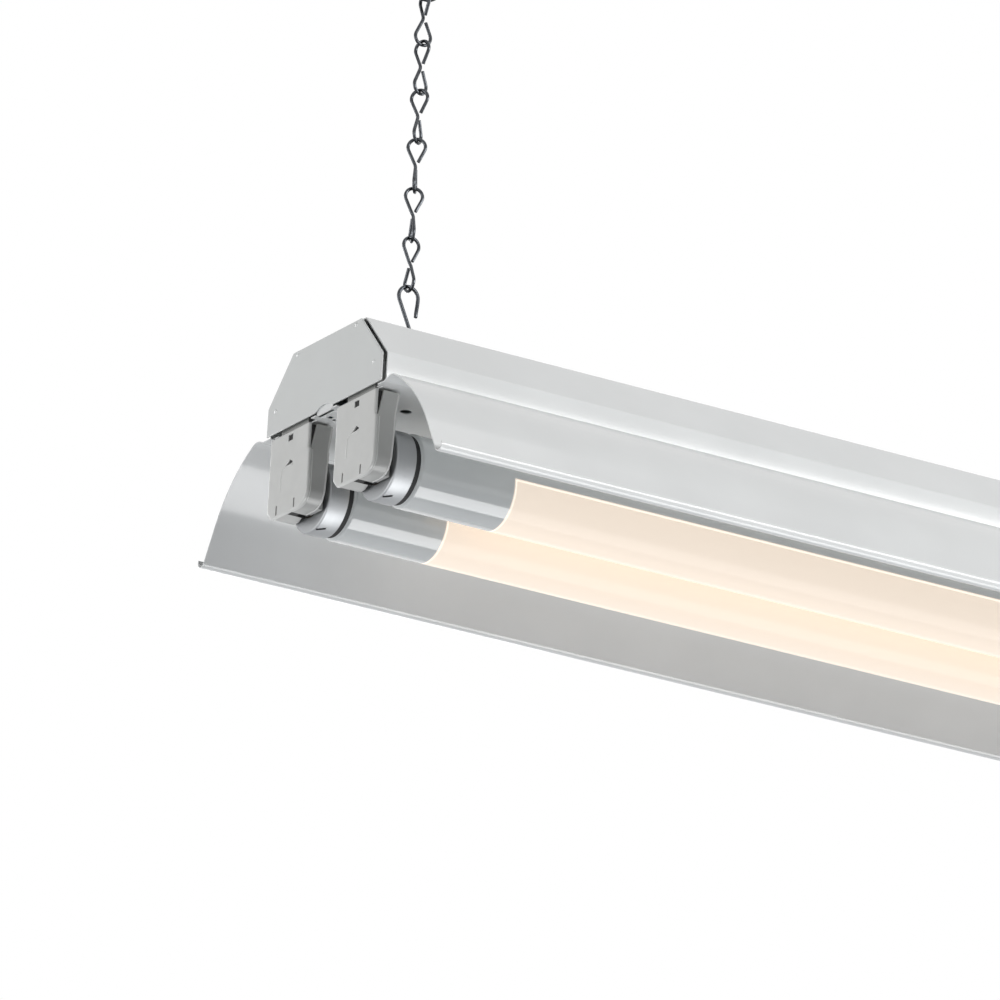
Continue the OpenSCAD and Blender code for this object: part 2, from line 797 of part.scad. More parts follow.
// Cathode: a glass stem that closes the end of the tube, two wires and a coiled filament
module lamp_cathode(left, front) {
    x0 = cap_x + glass_x;
    flange_t = 1.2;
    stem_l = 14;
    wire_l = 10;
    wire_d = 0.8;
    coil_d = 1.6;
    spread = 6;
    color(lamp_metal)
        at_holder(left, front) {
            rod_x(stem_r - seat_gap, x0, x0 + flange_t);
            rod_x(stem_r / 2, x0 + flange_t, x0 + stem_l);
            for (s = [-1, 1])
                wire([x0 + stem_l - 1, s * 2, 0], [x0 + stem_l + wire_l, s * spread, 0], wire_d);
            wire([x0 + stem_l + wire_l, -spread - wire_d, 0],
                [x0 + stem_l + wire_l, spread + wire_d, 0], coil_d);
        }
}

// Ballast base: a flat plate under the top of the housing, with a drilled tab at each end
base_z = sheet_under_z - seat_gap - ballast_t;
case_high_z = base_z - seat_gap;
case_low_z = case_high_z - ballast_h;
module ballast_base() {
    half_l = ballast_l / 2 + tab_l;
    color(zinc)
        fixture()
            difference() {
                block([-half_l, -ballast_w / 2, base_z], [half_l, ballast_w / 2, base_z + ballast_t]);
                for (s = [-1, 1])
                    translate([s * tab_hole_x, 0, base_z - 1])
                        cylinder(d = bolt_d + 2 * seat_gap, h = ballast_t + 2);
            }
}

// Ballast case: a box open at the top, with holes for the leads in its ends
lamp_lead_z = case_low_z + 5;
supply_z = case_low_z + 18;
supply_y = 4;
lead_play = 0.2;
module ballast_case() {
    color(zinc)
        fixture()
            difference() {
                block([-ballast_l / 2, -ballast_w / 2, case_low_z],
                    [ballast_l / 2, ballast_w / 2, case_high_z]);
                block([ballast_t - ballast_l / 2, ballast_t - ballast_w / 2, case_low_z + ballast_t],
                    [ballast_l / 2 - ballast_t, ballast_w / 2 - ballast_t, case_high_z + 1]);
                for (k = [-1.5:1.5])
                    translate([0, k * lead_pitch, lamp_lead_z])
                        rod_x(lead_d / 2 + lead_play, -ballast_l, ballast_l);
                for (s = [-1, 1])
                    translate([0, s * supply_y, supply_z])
                        rod_x(lead_d / 2 + lead_play, 0, ballast_l);
            }
}

// Circuit board in the case, with a transformer, a choke and three capacitors under it
module ballast_board() {
    board_t = 1.6;
    half_l = 0.45 * ballast_l;
    half_w = ballast_w / 2 - ballast_t - 2 * move_gap;
    board_z = case_high_z - 0.1 * ballast_h;
    low_z = board_z - board_t - 0.6 * ballast_h;
    transformer_w = ballast_w / 2;
    choke_w = 0.4 * ballast_w;
    can_d = 0.28 * ballast_w;
    color("#6d7f4a")
        fixture() {
            block([-half_l, -half_w, board_z - board_t], [half_l, half_w, board_z]);
            translate([-ballast_l / 4, 0, 0])
                block([-0.6 * transformer_w, -transformer_w / 2, low_z],
                    [0.6 * transformer_w, transformer_w / 2, board_z - board_t]);
            translate([ballast_l / 4, 0, 0])
                block([-0.6 * choke_w, -choke_w / 2, low_z + 0.1 * ballast_h],
                    [0.6 * choke_w, choke_w / 2, board_z - board_t]);
            for (k = [-1:1])
                translate([1.6 * k * can_d, 0, low_z])
                    cylinder(d = can_d, h = board_z - board_t - low_z);
        }
}

// Pan-head bolts down through the housing and the tabs of the base
module ballast_bolts() {
    head_h = 2.4;
    top = housing_h + seat_gap;
    color(zinc)
        fixture()
            for (s = [-1, 1])
                translate([s * tab_hole_x, 0, 0]) {
                    translate([0, 0, top])
                        cylinder(d1 = 2 * bolt_d, d2 = 1.5 * bolt_d, h = head_h);
                    translate([0, 0, top - bolt_l])
                        cylinder(d = bolt_d, h = bolt_l);
                }
}

module ballast_nuts() {
    nut_h = 3.2;
    color(zinc)
        fixture()
            for (s = [-1, 1])
                translate([s * tab_hole_x, 0, base_z - seat_gap - nut_h])
                    difference() {
                        cylinder(d = 2 * bolt_d, h = nut_h, $fn = 6);
                        translate([0, 0, -1])
                            cylinder(d = bolt_d + 2 * seat_gap, h = nut_h + 2);
                    }
}

// Points from p to q along X, with Y and Z eased over the whole way
lead_steps = 10;
lead_sides = 8;
function eased(p, q) =
    [for (i = [0:lead_steps])
        let (t = i / lead_steps, e = (1 - cos(180 * t)) / 2)
        [p[0] + (q[0] - p[0]) * t, p[1] + (q[1] - p[1]) * e, p[2] + (q[2] - p[2]) * e]];

// Four leads from one end of the ballast to the contacts of two lampholders
lead_start = 4;
module lamp_leads(left) {
    end_x = fixture_l / 2 - ballast_l / 2 + lead_start;
    contact_x = chamber_x0 + move_gap + contact_w + seat_gap;
    reach = contact_y + contact_t / 2;
    targets = [-lamp_y - reach, -lamp_y + reach, lamp_y - reach, lamp_y + reach];
    color("#3f6fb0")
        at_end(left)
            for (k = [0:3])
                tube(concat(
                    [[end_x, (k - 1.5) * lead_pitch, lamp_lead_z]],
                    eased([end_x - 20, (k - 1.5) * lead_pitch, lamp_lead_z],
                        [holder_depth + 30, targets[k], lead_z]),
                    [[contact_x, targets[k], lead_z]]), lead_d, lead_sides, [0, 0, 1]);
}

// Two supply leads from the ballast to the wire connectors by the cable inlet
connector_x = inlet_x - 36;
connector_y = 8;
connector_z = supply_z - 3;
module supply_leads() {
    start_x = ballast_l / 2 - lead_start;
    color("#2c2c2c")
        fixture()
            for (s = [-1, 1])
                tube(concat(
                    [[start_x, s * supply_y, supply_z]],
                    eased([start_x + 14, s * supply_y, supply_z],
                        [connector_x - 8, s * connector_y, connector_z]),
                    [[connector_x + nut_l / 2, s * connector_y, connector_z]]),
                    lead_d, lead_sides, [0, 0, 1]);
}

// Cone-shaped wire connectors with an open skirt
module wire_connectors() {
    color("#d8862b")
        fixture()
            for (s = [-1, 1])
                translate([connector_x, s * connector_y, connector_z])
                    rotate([0, 90, 0])
                        difference() {
                            cylinder(d1 = nut_d, d2 = nut_d * 0.65, h = nut_l);
                            translate([0, 0, -1])
                                cylinder(d = lead_d + 2 * seat_gap, h = nut_l / 2 + 1 + seat_gap);
                        }
}

// Screw for the ground lead, with its head inside the housing
module ground_screw() {
    head_d = 9;
    head_h = 2.6;
    shank_l = 5;
    top = sheet_under_z - seat_gap;
    color("#3d8a4a")
        fixture()
            translate([ground_x, 0, 0]) {
                translate([0, 0, top - head_h])
                    cylinder(d = head_d, h = head_h);
                translate([0, 0, top])
                    cylinder(d = ground_d - 2 * seat_gap, h = shank_l);
            }
}

// Bushing snapped into the knockout: a flange outside, a barrel and a round bore
module inlet_bushing() {
    flange_d = knockout_d + 5;
    flange_t = 2;
    flange_z = housing_h + seat_gap;
    color("#26282a")
        fixture()
            translate([inlet_x, 0, 0])
                difference() {
                    union() {
                        translate([0, 0, flange_z])
                            cylinder(d = flange_d, h = flange_t);
                        translate([0, 0, housing_h - bushing_l])
                            cylinder(d = knockout_d - 2 * seat_gap, h = bushing_l + flange_t);
                    }
                    translate([0, 0, housing_h - bushing_l - 1])
                        cylinder(d = inlet_bore_d, h = bushing_l + flange_t + 2);
                }
}

ceiling_hook(true);  // left_ceiling_hook
ceiling_hook(false);  // right_ceiling_hook
top_link(true);  // left_top_link
top_link(false);  // right_top_link
chain_links(true);  // left_chain_links
chain_links(false);  // right_chain_links
s_hook(true);  // left_s_hook
s_hook(false);  // right_s_hook
housing();
end_plate(true);  // left_end_plate
end_plate(false);  // right_end_plate
reflector();
reflector_screws();
holder_face(true, true);  // left_front_holder_face
holder_face(true, false);  // left_rear_holder_face
holder_face(false, true);  // right_front_holder_face
holder_face(false, false);  // right_rear_holder_face
holder_body(true, true);  // left_front_holder_body
holder_body(true, false);  // left_rear_holder_body
holder_body(false, true);  // right_front_holder_body
holder_body(false, false);  // right_rear_holder_body
contacts(true, true);  // left_front_contacts
contacts(true, false);  // left_rear_contacts
contacts(false, true);  // right_front_contacts
contacts(false, false);  // right_rear_contacts
rotor(true, true);  // left_front_rotor
rotor(true, false);  // left_rear_rotor
rotor(false, true);  // right_front_rotor
rotor(false, false);  // right_rear_rotor
lamp_glass_tube(true);  // front_lamp_glass
lamp_glass_tube(false);  // rear_lamp_glass
lamp_cap(true, true);  // front_lamp_left_cap
lamp_cap(false, true);  // front_lamp_right_cap
lamp_cap(true, false);  // rear_lamp_left_cap
lamp_cap(false, false);  // rear_lamp_right_cap
lamp_insulator(true, true);  // front_lamp_left_insulator
lamp_insulator(false, true);  // front_lamp_right_insulator
lamp_insulator(true, false);  // rear_lamp_left_insulator
lamp_insulator(false, false);  // rear_lamp_right_insulator
lamp_pins(true, true);  // front_lamp_left_pins
lamp_pins(false, true);  // front_lamp_right_pins
lamp_pins(true, false);  // rear_lamp_left_pins
lamp_pins(false, false);  // rear_lamp_right_pins
lamp_cathode(true, true);  // front_lamp_left_cathode
lamp_cathode(false, true);  // front_lamp_right_cathode
lamp_cathode(true, false);  // rear_lamp_left_cathode
lamp_cathode(false, false);  // rear_lamp_right_cathode
ballast_base();
ballast_case();
ballast_board();
ballast_bolts();
ballast_nuts();
lamp_leads(true);  // left_lamp_leads
lamp_leads(false);  // right_lamp_leads
supply_leads();
wire_connectors();
ground_screw();
inlet_bushing();
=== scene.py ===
import math

import bmesh
import bpy
import numpy as np
from mathutils import Matrix, Vector


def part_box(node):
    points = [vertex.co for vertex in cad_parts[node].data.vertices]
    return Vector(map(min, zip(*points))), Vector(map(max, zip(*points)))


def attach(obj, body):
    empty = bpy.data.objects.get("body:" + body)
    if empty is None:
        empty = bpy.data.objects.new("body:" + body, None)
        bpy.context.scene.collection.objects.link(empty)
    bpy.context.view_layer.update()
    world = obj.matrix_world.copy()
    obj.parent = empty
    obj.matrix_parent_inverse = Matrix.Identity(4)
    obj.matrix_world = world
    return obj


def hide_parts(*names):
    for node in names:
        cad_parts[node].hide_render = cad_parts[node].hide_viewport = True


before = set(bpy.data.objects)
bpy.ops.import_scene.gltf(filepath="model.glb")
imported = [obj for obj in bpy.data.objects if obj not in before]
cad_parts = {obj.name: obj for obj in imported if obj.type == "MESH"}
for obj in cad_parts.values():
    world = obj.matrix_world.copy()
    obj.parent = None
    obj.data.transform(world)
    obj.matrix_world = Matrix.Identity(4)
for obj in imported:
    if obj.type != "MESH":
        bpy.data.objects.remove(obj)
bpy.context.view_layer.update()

# View
# The photograph looks up at the left end from the front, through a long lens. The aim is
# the middle of the housing's bottom edge at that end, and aim_px is its place in the
# picture. scale_px is the size of a metre there.
mm = 0.001
picture_px = 1000
focal_px = 10000
scale_px = 2011
aim_px = (322.9, 411.4)
azimuth, rise, roll = (math.radians(a) for a in (30.75, 19.05, 3.0))
sensor_mm = 36

end_plate_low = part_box("left_end_plate")[0]
half_length = -end_plate_low.x
edge_z = end_plate_low.z
aim = Vector((-half_length, 0, edge_z))
ahead = Vector((
    math.sin(azimuth) * math.cos(rise), math.cos(azimuth) * math.cos(rise), math.sin(rise)))
level = Vector((math.cos(azimuth), -math.sin(azimuth), 0))
above = level.cross(ahead)
rightward = level * math.cos(roll) + above * math.sin(roll)
upward = above * math.cos(roll) - level * math.sin(roll)
camera = bpy.data.objects.new("camera", bpy.data.cameras.new("camera"))
bpy.context.scene.collection.objects.link(camera)
camera.data.sensor_width = sensor_mm
camera.data.lens = sensor_mm * focal_px / picture_px
camera.matrix_world = Matrix((rightward, upward, -ahead)).transposed().to_4x4()
camera.location = (
    aim
    - ahead * focal_px / scale_px
    - rightward * (aim_px[0] - picture_px / 2) / scale_px
    - upward * (picture_px / 2 - aim_px[1]) / scale_px
)
bpy.context.scene.camera = camera

# Studio
# A pale floor far below the light with a wide lamp over it, an even white surround, and soft
# lamps in front, above, behind and beyond both ends. A narrow one in front and below, which
# only shows in reflections, draws the bright line on the tubes.
bpy.context.scene.view_settings.view_transform = "Standard"


def linear(code):
    """The sRGB colour of a hex code as linear red, green and blue."""
    srgb = np.array([int(code[i:i + 2], 16) for i in (1, 3, 5)]) / 255
    return tuple(np.where(srgb <= 0.04045, srgb / 12.92, ((srgb + 0.055) / 1.055) ** 2.4))


def add(tree, kind, inputs, **settings):
    """Adds a node with its settings. Each input is a value, or what feeds it: a socket, or a
    node for its first output."""
    node = tree.nodes.new(kind)
    for name, value in settings.items():
        setattr(node, name, value)
    for key, value in inputs.items():
        if isinstance(value, bpy.types.Node):
            tree.links.new(value.outputs[0], node.inputs[key])
        elif isinstance(value, bpy.types.NodeSocket):
            tree.links.new(value, node.inputs[key])
        else:
            node.inputs[key].default_value = value
    return node


def feed(shader, key, node, output=0):
    """Leads one of a node's outputs to one of the shader's inputs."""
    shader.id_data.links.new(node.outputs[output], shader.inputs[key])


def finish(name, colour, metallic, roughness, **more):
    """A new material for one finish, or for painted shade. The values that are the same all over
    are set on its own shader. Returns the material, its tree, its shader and the Object coordinates."""
    material = bpy.data.materials.new(name)
    material.use_nodes = True
    tree = material.node_tree
    shader = tree.nodes["Principled BSDF"]
    shader.inputs["Base Color"].default_value = (*linear(colour), 1)
    shader.inputs["Metallic"].default_value = metallic
    shader.inputs["Roughness"].default_value = roughness
    for key, value in more.items():
        shader.inputs[key.replace("_", " ")].default_value = value
    return material, tree, shader, add(tree, "ShaderNodeTexCoord", {}).outputs["Object"]


floor_drop = 5.0
floor_size = 24.0
paint_grain = 2.5 * mm
ambient = 0.12
world = bpy.data.worlds.new("studio")
bpy.context.scene.world = world
world.use_nodes = True
world_tree = world.node_tree
world_tree.nodes.clear()
rays = add(world_tree, "ShaderNodeLightPath", {})
seen = add(world_tree, "ShaderNodeMath", {
    0: rays.outputs["Is Camera Ray"], 1: rays.outputs["Is Glossy Ray"]}, operation="MAXIMUM")
seen_or_through = add(world_tree, "ShaderNodeMath", {
    0: seen, 1: rays.outputs["Is Transmission Ray"]}, operation="MAXIMUM")
soft_light = add(world_tree, "ShaderNodeBackground", {"Color": (1, 1, 1, 1), "Strength": ambient})
white = add(world_tree, "ShaderNodeBackground", {"Color": (1, 1, 1, 1), "Strength": 1.0})
either = add(world_tree, "ShaderNodeMixShader", {0: seen_or_through, 1: soft_light, 2: white})
add(world_tree, "ShaderNodeOutputWorld", {"Surface": either})

floor_mesh = bpy.data.meshes.new("floor")
floor_z = camera.location.z - floor_drop
corners = np.array([[-1, -1], [1, -1], [1, 1], [-1, 1]]) * floor_size / 2
floor_mesh.from_pydata([(x, y, floor_z) for x, y in corners], [], [(0, 1, 2, 3)])
floor = bpy.data.objects.new("floor", floor_mesh)
bpy.context.scene.collection.objects.link(floor)
floor_paint, tree, shader, place = finish("matt pale floor paint", "#e5e6e8", 0, 0.8)
floor_grain = add(tree, "ShaderNodeTexNoise", {"Vector": place, "Scale": 1 / paint_grain, "Detail": 4})
floor_bump = add(tree, "ShaderNodeBump", {
    "Height": floor_grain, "Strength": 0.1, "Distance": 0.2 * mm})
feed(shader, "Normal", floor_bump)
floor_mesh.materials.append(floor_paint)


def soft_lamp(name, place, target, width, height, power, matt=True):
    """A rectangular lamp of so many watts at place that faces target, both in metres from
    the aim. It lights matt surfaces too, or only shows in reflections."""
    lamp = bpy.data.objects.new(name, bpy.data.lights.new(name, "AREA"))
    lamp.data.shape = "RECTANGLE"
    lamp.data.size, lamp.data.size_y = width, height
    lamp.data.energy = power
    lamp.visible_diffuse = matt
    lamp.visible_camera = False
    lamp.location = aim + Vector(place)
    lamp.rotation_euler = (Vector(target) - Vector(place)).to_track_quat("-Z", "Y").to_euler()
    bpy.context.scene.collection.objects.link(lamp)


soft_lamp("front_lamp", (2.6, -3.4, 0.6), (0.8, 0, 0), 4.0, 1.5, 150)
soft_lamp("top_lamp", (0.6, -1.2, 2.6), (0.5, 0, 0), 2.4, 1.6, 9)
soft_lamp("left_lamp", (-3.0, 0.7, -0.25), (0, 0, 0), 2.0, 2.0, 47)
soft_lamp("floor_lamp", (0.6, 0, -5.3), (0.6, 0, -6), floor_size, floor_size, 1380)
soft_lamp("back_lamp", (0.6, 3.4, 0.6), (0.6, 0, 0), 3.0, 1.4, 44)
soft_lamp("right_lamp", (4.2, -0.7, 0.1), (1.2, 0, 0), 1.4, 1.4, 40)
soft_lamp("reflection_strip", (0.8, -0.37, -1.1), (0.8, -0.03, -0.03), 2.0, 0.72, 18, matt=False)

# Ceiling hooks
# A steel wire hook with a wood screw thread above a pressed collar, screwed into the
# ceiling at each end. It is bright zinc plated, and the chain's top link hangs in its bowl.
# Across the hooks' wires, which bend in the x, z plane, and the steps of a rounded edge
across_y = np.array([0, 1.0, 0])
edge_turn = np.linspace(0, math.pi / 2, 5)


def middle(node):
    """The middle of a CAD node's box."""
    low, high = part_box(node)
    return (np.array(low) + np.array(high)) / 2


def grid(points, closed=False):
    """Quads over a grid of points, rows by columns, closed across the columns if asked."""
    rows, columns = points.shape[:2]
    i, j = np.meshgrid(np.arange(rows - 1), np.arange(columns - (not closed)), indexing="ij")
    k = (j + 1) % columns
    quads = np.stack([
        i * columns + j, i * columns + k, (i + 1) * columns + k, (i + 1) * columns + j], -1)
    return points.reshape(-1, 3), quads.reshape(-1, 4).tolist()


def piece(name, parts, material, body, nodes=(), sharp=40):
    """One object of several parts, each a pair of points and faces. Points that coincide are
    merged, faces turned outwards, and edges steeper than sharp degrees stay crisp."""
    starts = np.cumsum([0] + [len(points) for points, faces in parts])
    faces = [[start + v for v in face] for start, part in zip(starts, parts) for face in part[1]]
    mesh = bpy.data.meshes.new(name)
    mesh.from_pydata(np.concatenate([points for points, _ in parts]), [], faces)
    shape = bmesh.new()
    shape.from_mesh(mesh)
    bmesh.ops.remove_doubles(shape, verts=shape.verts, dist=1e-6)
    bmesh.ops.recalc_face_normals(shape, faces=shape.faces)
    shape.to_mesh(mesh)
    shape.free()
    mesh.shade_smooth()
    mesh.set_sharp_from_angle(angle=math.radians(sharp))
    mesh.materials.append(material)
    thing = bpy.data.objects.new(name, mesh)
    bpy.context.scene.collection.objects.link(thing)
    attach(thing, body)
    if nodes:
        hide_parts(*nodes)
    return thing


def wire(path, across, radius, bevel, sides=16):
    """A round wire: a circle carried along a path and square to it. across is a direction
    that isn't along the path, one for all points or one for each. At both ends the points
    next to the last give way to a rounded edge of the size bevel."""
    along = np.gradient(path, axis=0)
    along /= np.linalg.norm(along, axis=1, keepdims=True)
    side = across - np.sum(along * across, 1, keepdims=True) * along
    side /= np.linalg.norm(side, axis=1, keepdims=True)
    over = np.cross(along, side)
    back = np.append(bevel * (1 - np.sin(edge_turn)), 0)
    size = np.append(radius - bevel * (1 - np.cos(edge_turn)), 0)
    first = path[0] + back[::-1, None] * along[0]
    last = path[-1] - back[:, None] * along[-1]
    centre = np.concatenate([first, path[2:-2], last])
    reach = np.concatenate([size[::-1], np.full(len(path) - 4, radius), size])
    n = len(size)
    pick = np.r_[np.zeros(n, int), np.arange(2, len(path) - 2), np.full(n, len(path) - 1)]
    angle = np.arange(sides) * 2 * math.pi / sides
    ring = (np.cos(angle)[None, :, None] * side[pick][:, None]
            + np.sin(angle)[None, :, None] * over[pick][:, None])
    return grid(centre[:, None] + reach[:, None, None] * ring, closed=True)


def turned(profile, sides, along_x=False):
    """A profile of radius and height rows turned about Z, or about X."""
    radius, height = np.asarray(profile, float).T[:, :, None]
    angle = np.arange(sides) * 2 * math.pi / sides
    level = height + 0 * angle
    rim = [radius * np.cos(angle), radius * np.sin(angle)]
    return grid(np.stack([level, *rim] if along_x else [*rim, level], -1), closed=True)


def moved(part, place):
    """A part's points shifted by place, with the same faces."""
    return part[0] + np.asarray(place), part[1]


def turned_about_z(part, angle):
    """A part's points turned about Z by an angle in radians, with the same faces."""
    turn = np.array(Matrix.Rotation(angle, 3, "Z"))
    return part[0] @ turn.T, part[1]


def ease(start, start_way, end, end_way, count):
    """Points on a cubic from start to end that leaves and arrives along the given ways."""
    t = np.linspace(0, 1, count)[:, None]
    corners = (start, start + start_way / 3, end - end_way / 3, end)
    weights = ((1 - t) ** 3, 3 * t * (1 - t) ** 2, 3 * t ** 2 * (1 - t), t ** 3)
    return sum(w * np.asarray(c, float) for w, c in zip(weights, corners))


# Zinc plating on steel wire: a dark bluish metal with fine lines along the draw, which are
# coarser here than the real ones, so that they show.
wire_zinc, tree, shader, place = finish("bright zinc plated wire", "#505356", 1, 0.2)
draw_line = 0.25 * mm
line_length = 6 * mm
stretched = add(tree, "ShaderNodeMapping", {
    "Vector": place, "Scale": (1 / draw_line, 1 / draw_line, 1 / line_length)})
lines = add(tree, "ShaderNodeTexNoise", {"Vector": stretched, "Scale": 1, "Detail": 3})
plating = add(tree, "ShaderNodeValToRGB", {0: lines})
plating.color_ramp.elements[0].position = 0.3
plating.color_ramp.elements[0].color = (*linear("#2e3032"), 1)
plating.color_ramp.elements[1].position = 0.7
plating.color_ramp.elements[1].color = (*linear("#595c60"), 1)
feed(shader, "Base Color", plating)
# Map Range turns what lies between its inputs 1 and 2 into what lies between 3 and 4
dull = add(tree, "ShaderNodeMapRange", {0: lines, 1: 0.3, 2: 0.7, 3: 0.14, 4: 0.24})
feed(shader, "Roughness", dull)
relief = add(tree, "ShaderNodeBump", {"Height": lines, "Strength": 0.25, "Distance": 0.03 * mm})
feed(shader, "Normal", relief)

# The bowl goes round from bowl_from to bowl_to, in degrees from its side. The neck starts
# neck_h above the bowl's middle, and each pull says how far it keeps to its first direction.
bowl_wire, hook_edge = 3.5 * mm, 1 * mm
bowl_r, bowl_from, bowl_to = 8 * mm, 135, 390
neck_h, shank_pull, bowl_pull = 15.5 * mm, 9 * mm, 13 * mm
collar_r, collar_t = 5.5 * mm, 1.6 * mm
collar_edge, collar_round = 0.5 * mm, 0.12 * mm
thread_r, thread_core_r, thread_pitch = 2.2 * mm, 1.7 * mm, 1.8 * mm
crest_share = 0.4
tip_l = 6 * mm


def screw_thread(length):
    """A wood screw: the radius rises from a core to a sharp crest that climbs one pitch in
    each turn and takes a share of it, and both shrink to a point over the tip."""
    sides = 24
    z = np.linspace(0, length, 161)[:, None]
    angle = np.arange(sides)[None] * 2 * math.pi / sides
    climb = (z / thread_pitch - angle / (2 * math.pi)) % 1
    crest = np.clip(1 - np.abs(climb - 0.5) * 2 / crest_share, 0, 1)
    taper = np.clip((length - z) / tip_l, 0, 1) ** 0.8
    radius = (thread_core_r + (thread_r - thread_core_r) * crest) * taper
    radius = np.concatenate([0 * radius[:1], radius])
    z = np.concatenate([z[:1], z])
    return grid(np.stack([
        radius * np.cos(angle), radius * np.sin(angle), z + 0 * angle], -1), closed=True)


for side in ("left", "right"):
    low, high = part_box(f"{side}_ceiling_hook")
    # The thread runs up from the ceiling at Z = 0, and the bowl hangs from the shank
    bowl_z = low.z + bowl_wire / 2 + bowl_r
    sweep = np.radians(np.linspace(bowl_from, bowl_to, 52))
    bowl = np.stack([bowl_r * np.cos(sweep), 0 * sweep, bowl_z + bowl_r * np.sin(sweep)], -1)
    shank = np.linspace([0, 0, -collar_t / 2], [0, 0, bowl_z + neck_h], 6)
    way = np.array([-np.sin(sweep[0]), 0, np.cos(sweep[0])])
    neck = ease(shank[-1], np.array([0, 0, -shank_pull]), bowl[0], way * bowl_pull, 14)
    path = np.concatenate([shank[:-1], neck[:-1], bowl])
    collar = turned([
        (0, -collar_t), (collar_r - collar_edge, -collar_t),
        (collar_r - collar_round, -collar_t + collar_round),
        (collar_r, -collar_t + collar_edge), (collar_r, 0), (0, 0)], 40)
    parts = [wire(path, across_y, bowl_wire / 2, hook_edge, 20), collar, screw_thread(high.z)]
    hook_place = (middle(f"{side}_top_link")[0], 0, 0)
    piece(f"{side}_screw_hook", [moved(part, hook_place) for part in parts],
          wire_zinc, "ceiling", [f"{side}_ceiling_hook"])

# Chains
# Jack chain: each link is one zinc plated wire bent into a figure of eight, with its upper
# loop square to its lower one and both cut ends short of the waist. The top link of each
# chain swings in the ceiling hook, and the five below it hang as one straight run.
link_wire, link_edge = 1.8 * mm, 0.35 * mm
link_r = 4.4 * mm
link_waist, link_opening = 0.56 * link_wire, 0.9 * link_wire
join_points = 14
links_below = 5
link_twist = math.radians(-18)
low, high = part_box("left_top_link")
link_l = high.z - low.z - link_wire
low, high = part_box("left_chain_links")
link_pitch = (high.z - low.z - link_wire - link_l) / (links_below - 1)


def figure_eight():
    """Path of a link about its middle, and a direction across the wire at each point. Each
    loop is an arc with two straight sides that touch it, and a cubic joins the two at the
    waist while the loop's plane turns by a quarter."""
    centre_z = link_l / 2 - link_r
    reach = math.atan2(link_waist, centre_z) + math.pi / 2 - math.asin(
        link_r / math.hypot(link_waist, centre_z))
    angle = np.linspace(reach, 2 * math.pi - reach, 40)
    across = link_r * np.sin(angle)
    height = centre_z - link_r * np.cos(angle)
    inward = np.linspace(0, 1, 8)[:, None]
    start = inward * [across[0], height[0]] + (1 - inward) * [link_waist, link_opening]
    loop = np.concatenate([start[:-1], np.stack([across, height], -1)[1:-1],
                           (start * [-1, 1])[::-1]])
    zero = np.zeros(len(loop))
    upper = np.stack([loop[:, 0], zero, loop[:, 1]], -1)
    lower = np.stack([zero, loop[:, 0], -loop[:, 1]], -1)[::-1]
    steep = 2.2 * link_opening
    way_in = (upper[-1] - upper[-2]) / np.linalg.norm(upper[-1] - upper[-2])
    way_out = (lower[1] - lower[0]) / np.linalg.norm(lower[1] - lower[0])
    join = ease(upper[-1], way_in * steep, lower[0], way_out * steep, join_points)
    path = np.concatenate([upper, join[1:-1], lower])
    turn = np.concatenate([
        0 * upper[:, 0], np.linspace(0, 1, join_points)[1:-1], 1 + 0 * lower[:, 0]])
    turn = turn * turn * (3 - 2 * turn) * math.pi / 2
    return path, np.stack([np.sin(turn), np.cos(turn), 0 * turn], -1)


link_path, link_across = figure_eight()
link = wire(link_path, link_across, link_wire / 2, link_edge, 14)
for side in ("left", "right"):
    x, _, top_z = middle(f"{side}_top_link")
    top_link = moved(turned_about_z(link, links_below * link_twist), (x, 0, top_z))
    piece(f"{side}_top_jack_link", [top_link], wire_zinc, "top_links",
          [f"{side}_top_link"])
    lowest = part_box(f"{side}_chain_links")[0].z + (link_wire + link_l) / 2
    run = [moved(turned_about_z(link, k * link_twist), (x, 0, lowest + k * link_pitch))
           for k in range(links_below)]
    piece(f"{side}_jack_chain", run, wire_zinc, f"{side}_chain",
          [f"{side}_chain_links"])

# S-hooks
# An open S of thinner zinc plated wire hooks the lowest link of each chain to the narrow
# bridge between two slots in the housing's top. Both its loops are left open.
s_wire, s_edge = 2 * mm, 0.5 * mm
s_tail, s_tail_in = 10 * mm, 0.8 * mm


def half_s(height, width):
    """Half of the S about its middle: the free end, the loop, and the shank to the middle."""
    r = width / 2
    centre_z = height / 2 - r
    lean = math.asin(r / centre_z)
    angle = np.linspace(0, math.pi + lean, 44)
    loop = np.stack([r * np.cos(angle), 0 * angle, centre_z + r * np.sin(angle)], -1)
    end = np.array([r - s_tail_in, 0, centre_z - s_tail])
    up = np.array([0, 0, s_tail])
    tail = ease(end, up, loop[0], up, 9)
    shank = loop[-1] * np.linspace(1, 0, 10)[1:, None]
    return np.concatenate([tail[:-1], loop, shank])


for side, hand in (("left", 1), ("right", -1)):
    low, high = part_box(f"{side}_s_hook")
    half = half_s(high.z - low.z - s_wire, high.x - low.x - s_wire) * [hand, 1, 1]
    path = np.concatenate([half, -half[-2::-1]])
    s_middle = middle(f"{side}_s_hook") * [1, 0, 1]
    piece(f"{side}_open_s_hook", [moved(wire(path, across_y, s_wire / 2, s_edge), s_middle)],
          wire_zinc, f"{side}_hook", [f"{side}_s_hook"])

# Housing
# A channel of 0.8 mm steel folded with sloping shoulders and flanges turned in below. It is
# punched for the hooks, the fixings and the cable, then dipped and baked in white enamel.
sheet_t, housing_edge = 0.8 * mm, 0.2 * mm
bend_r = 1.6 * mm
low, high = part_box("housing")
housing_w = high.y - low.y
housing_h = high.z - low.z
end_gap = 0.6 * mm
housing_x = high.x - end_gap
shoulder_w = 67.2 * mm
side_h = 16.3 * mm
flange_w = 9 * mm
slope = math.atan2(housing_h - side_h, (housing_w - shoulder_w) / 2)
hole_points = 32
quarter = hole_points // 4


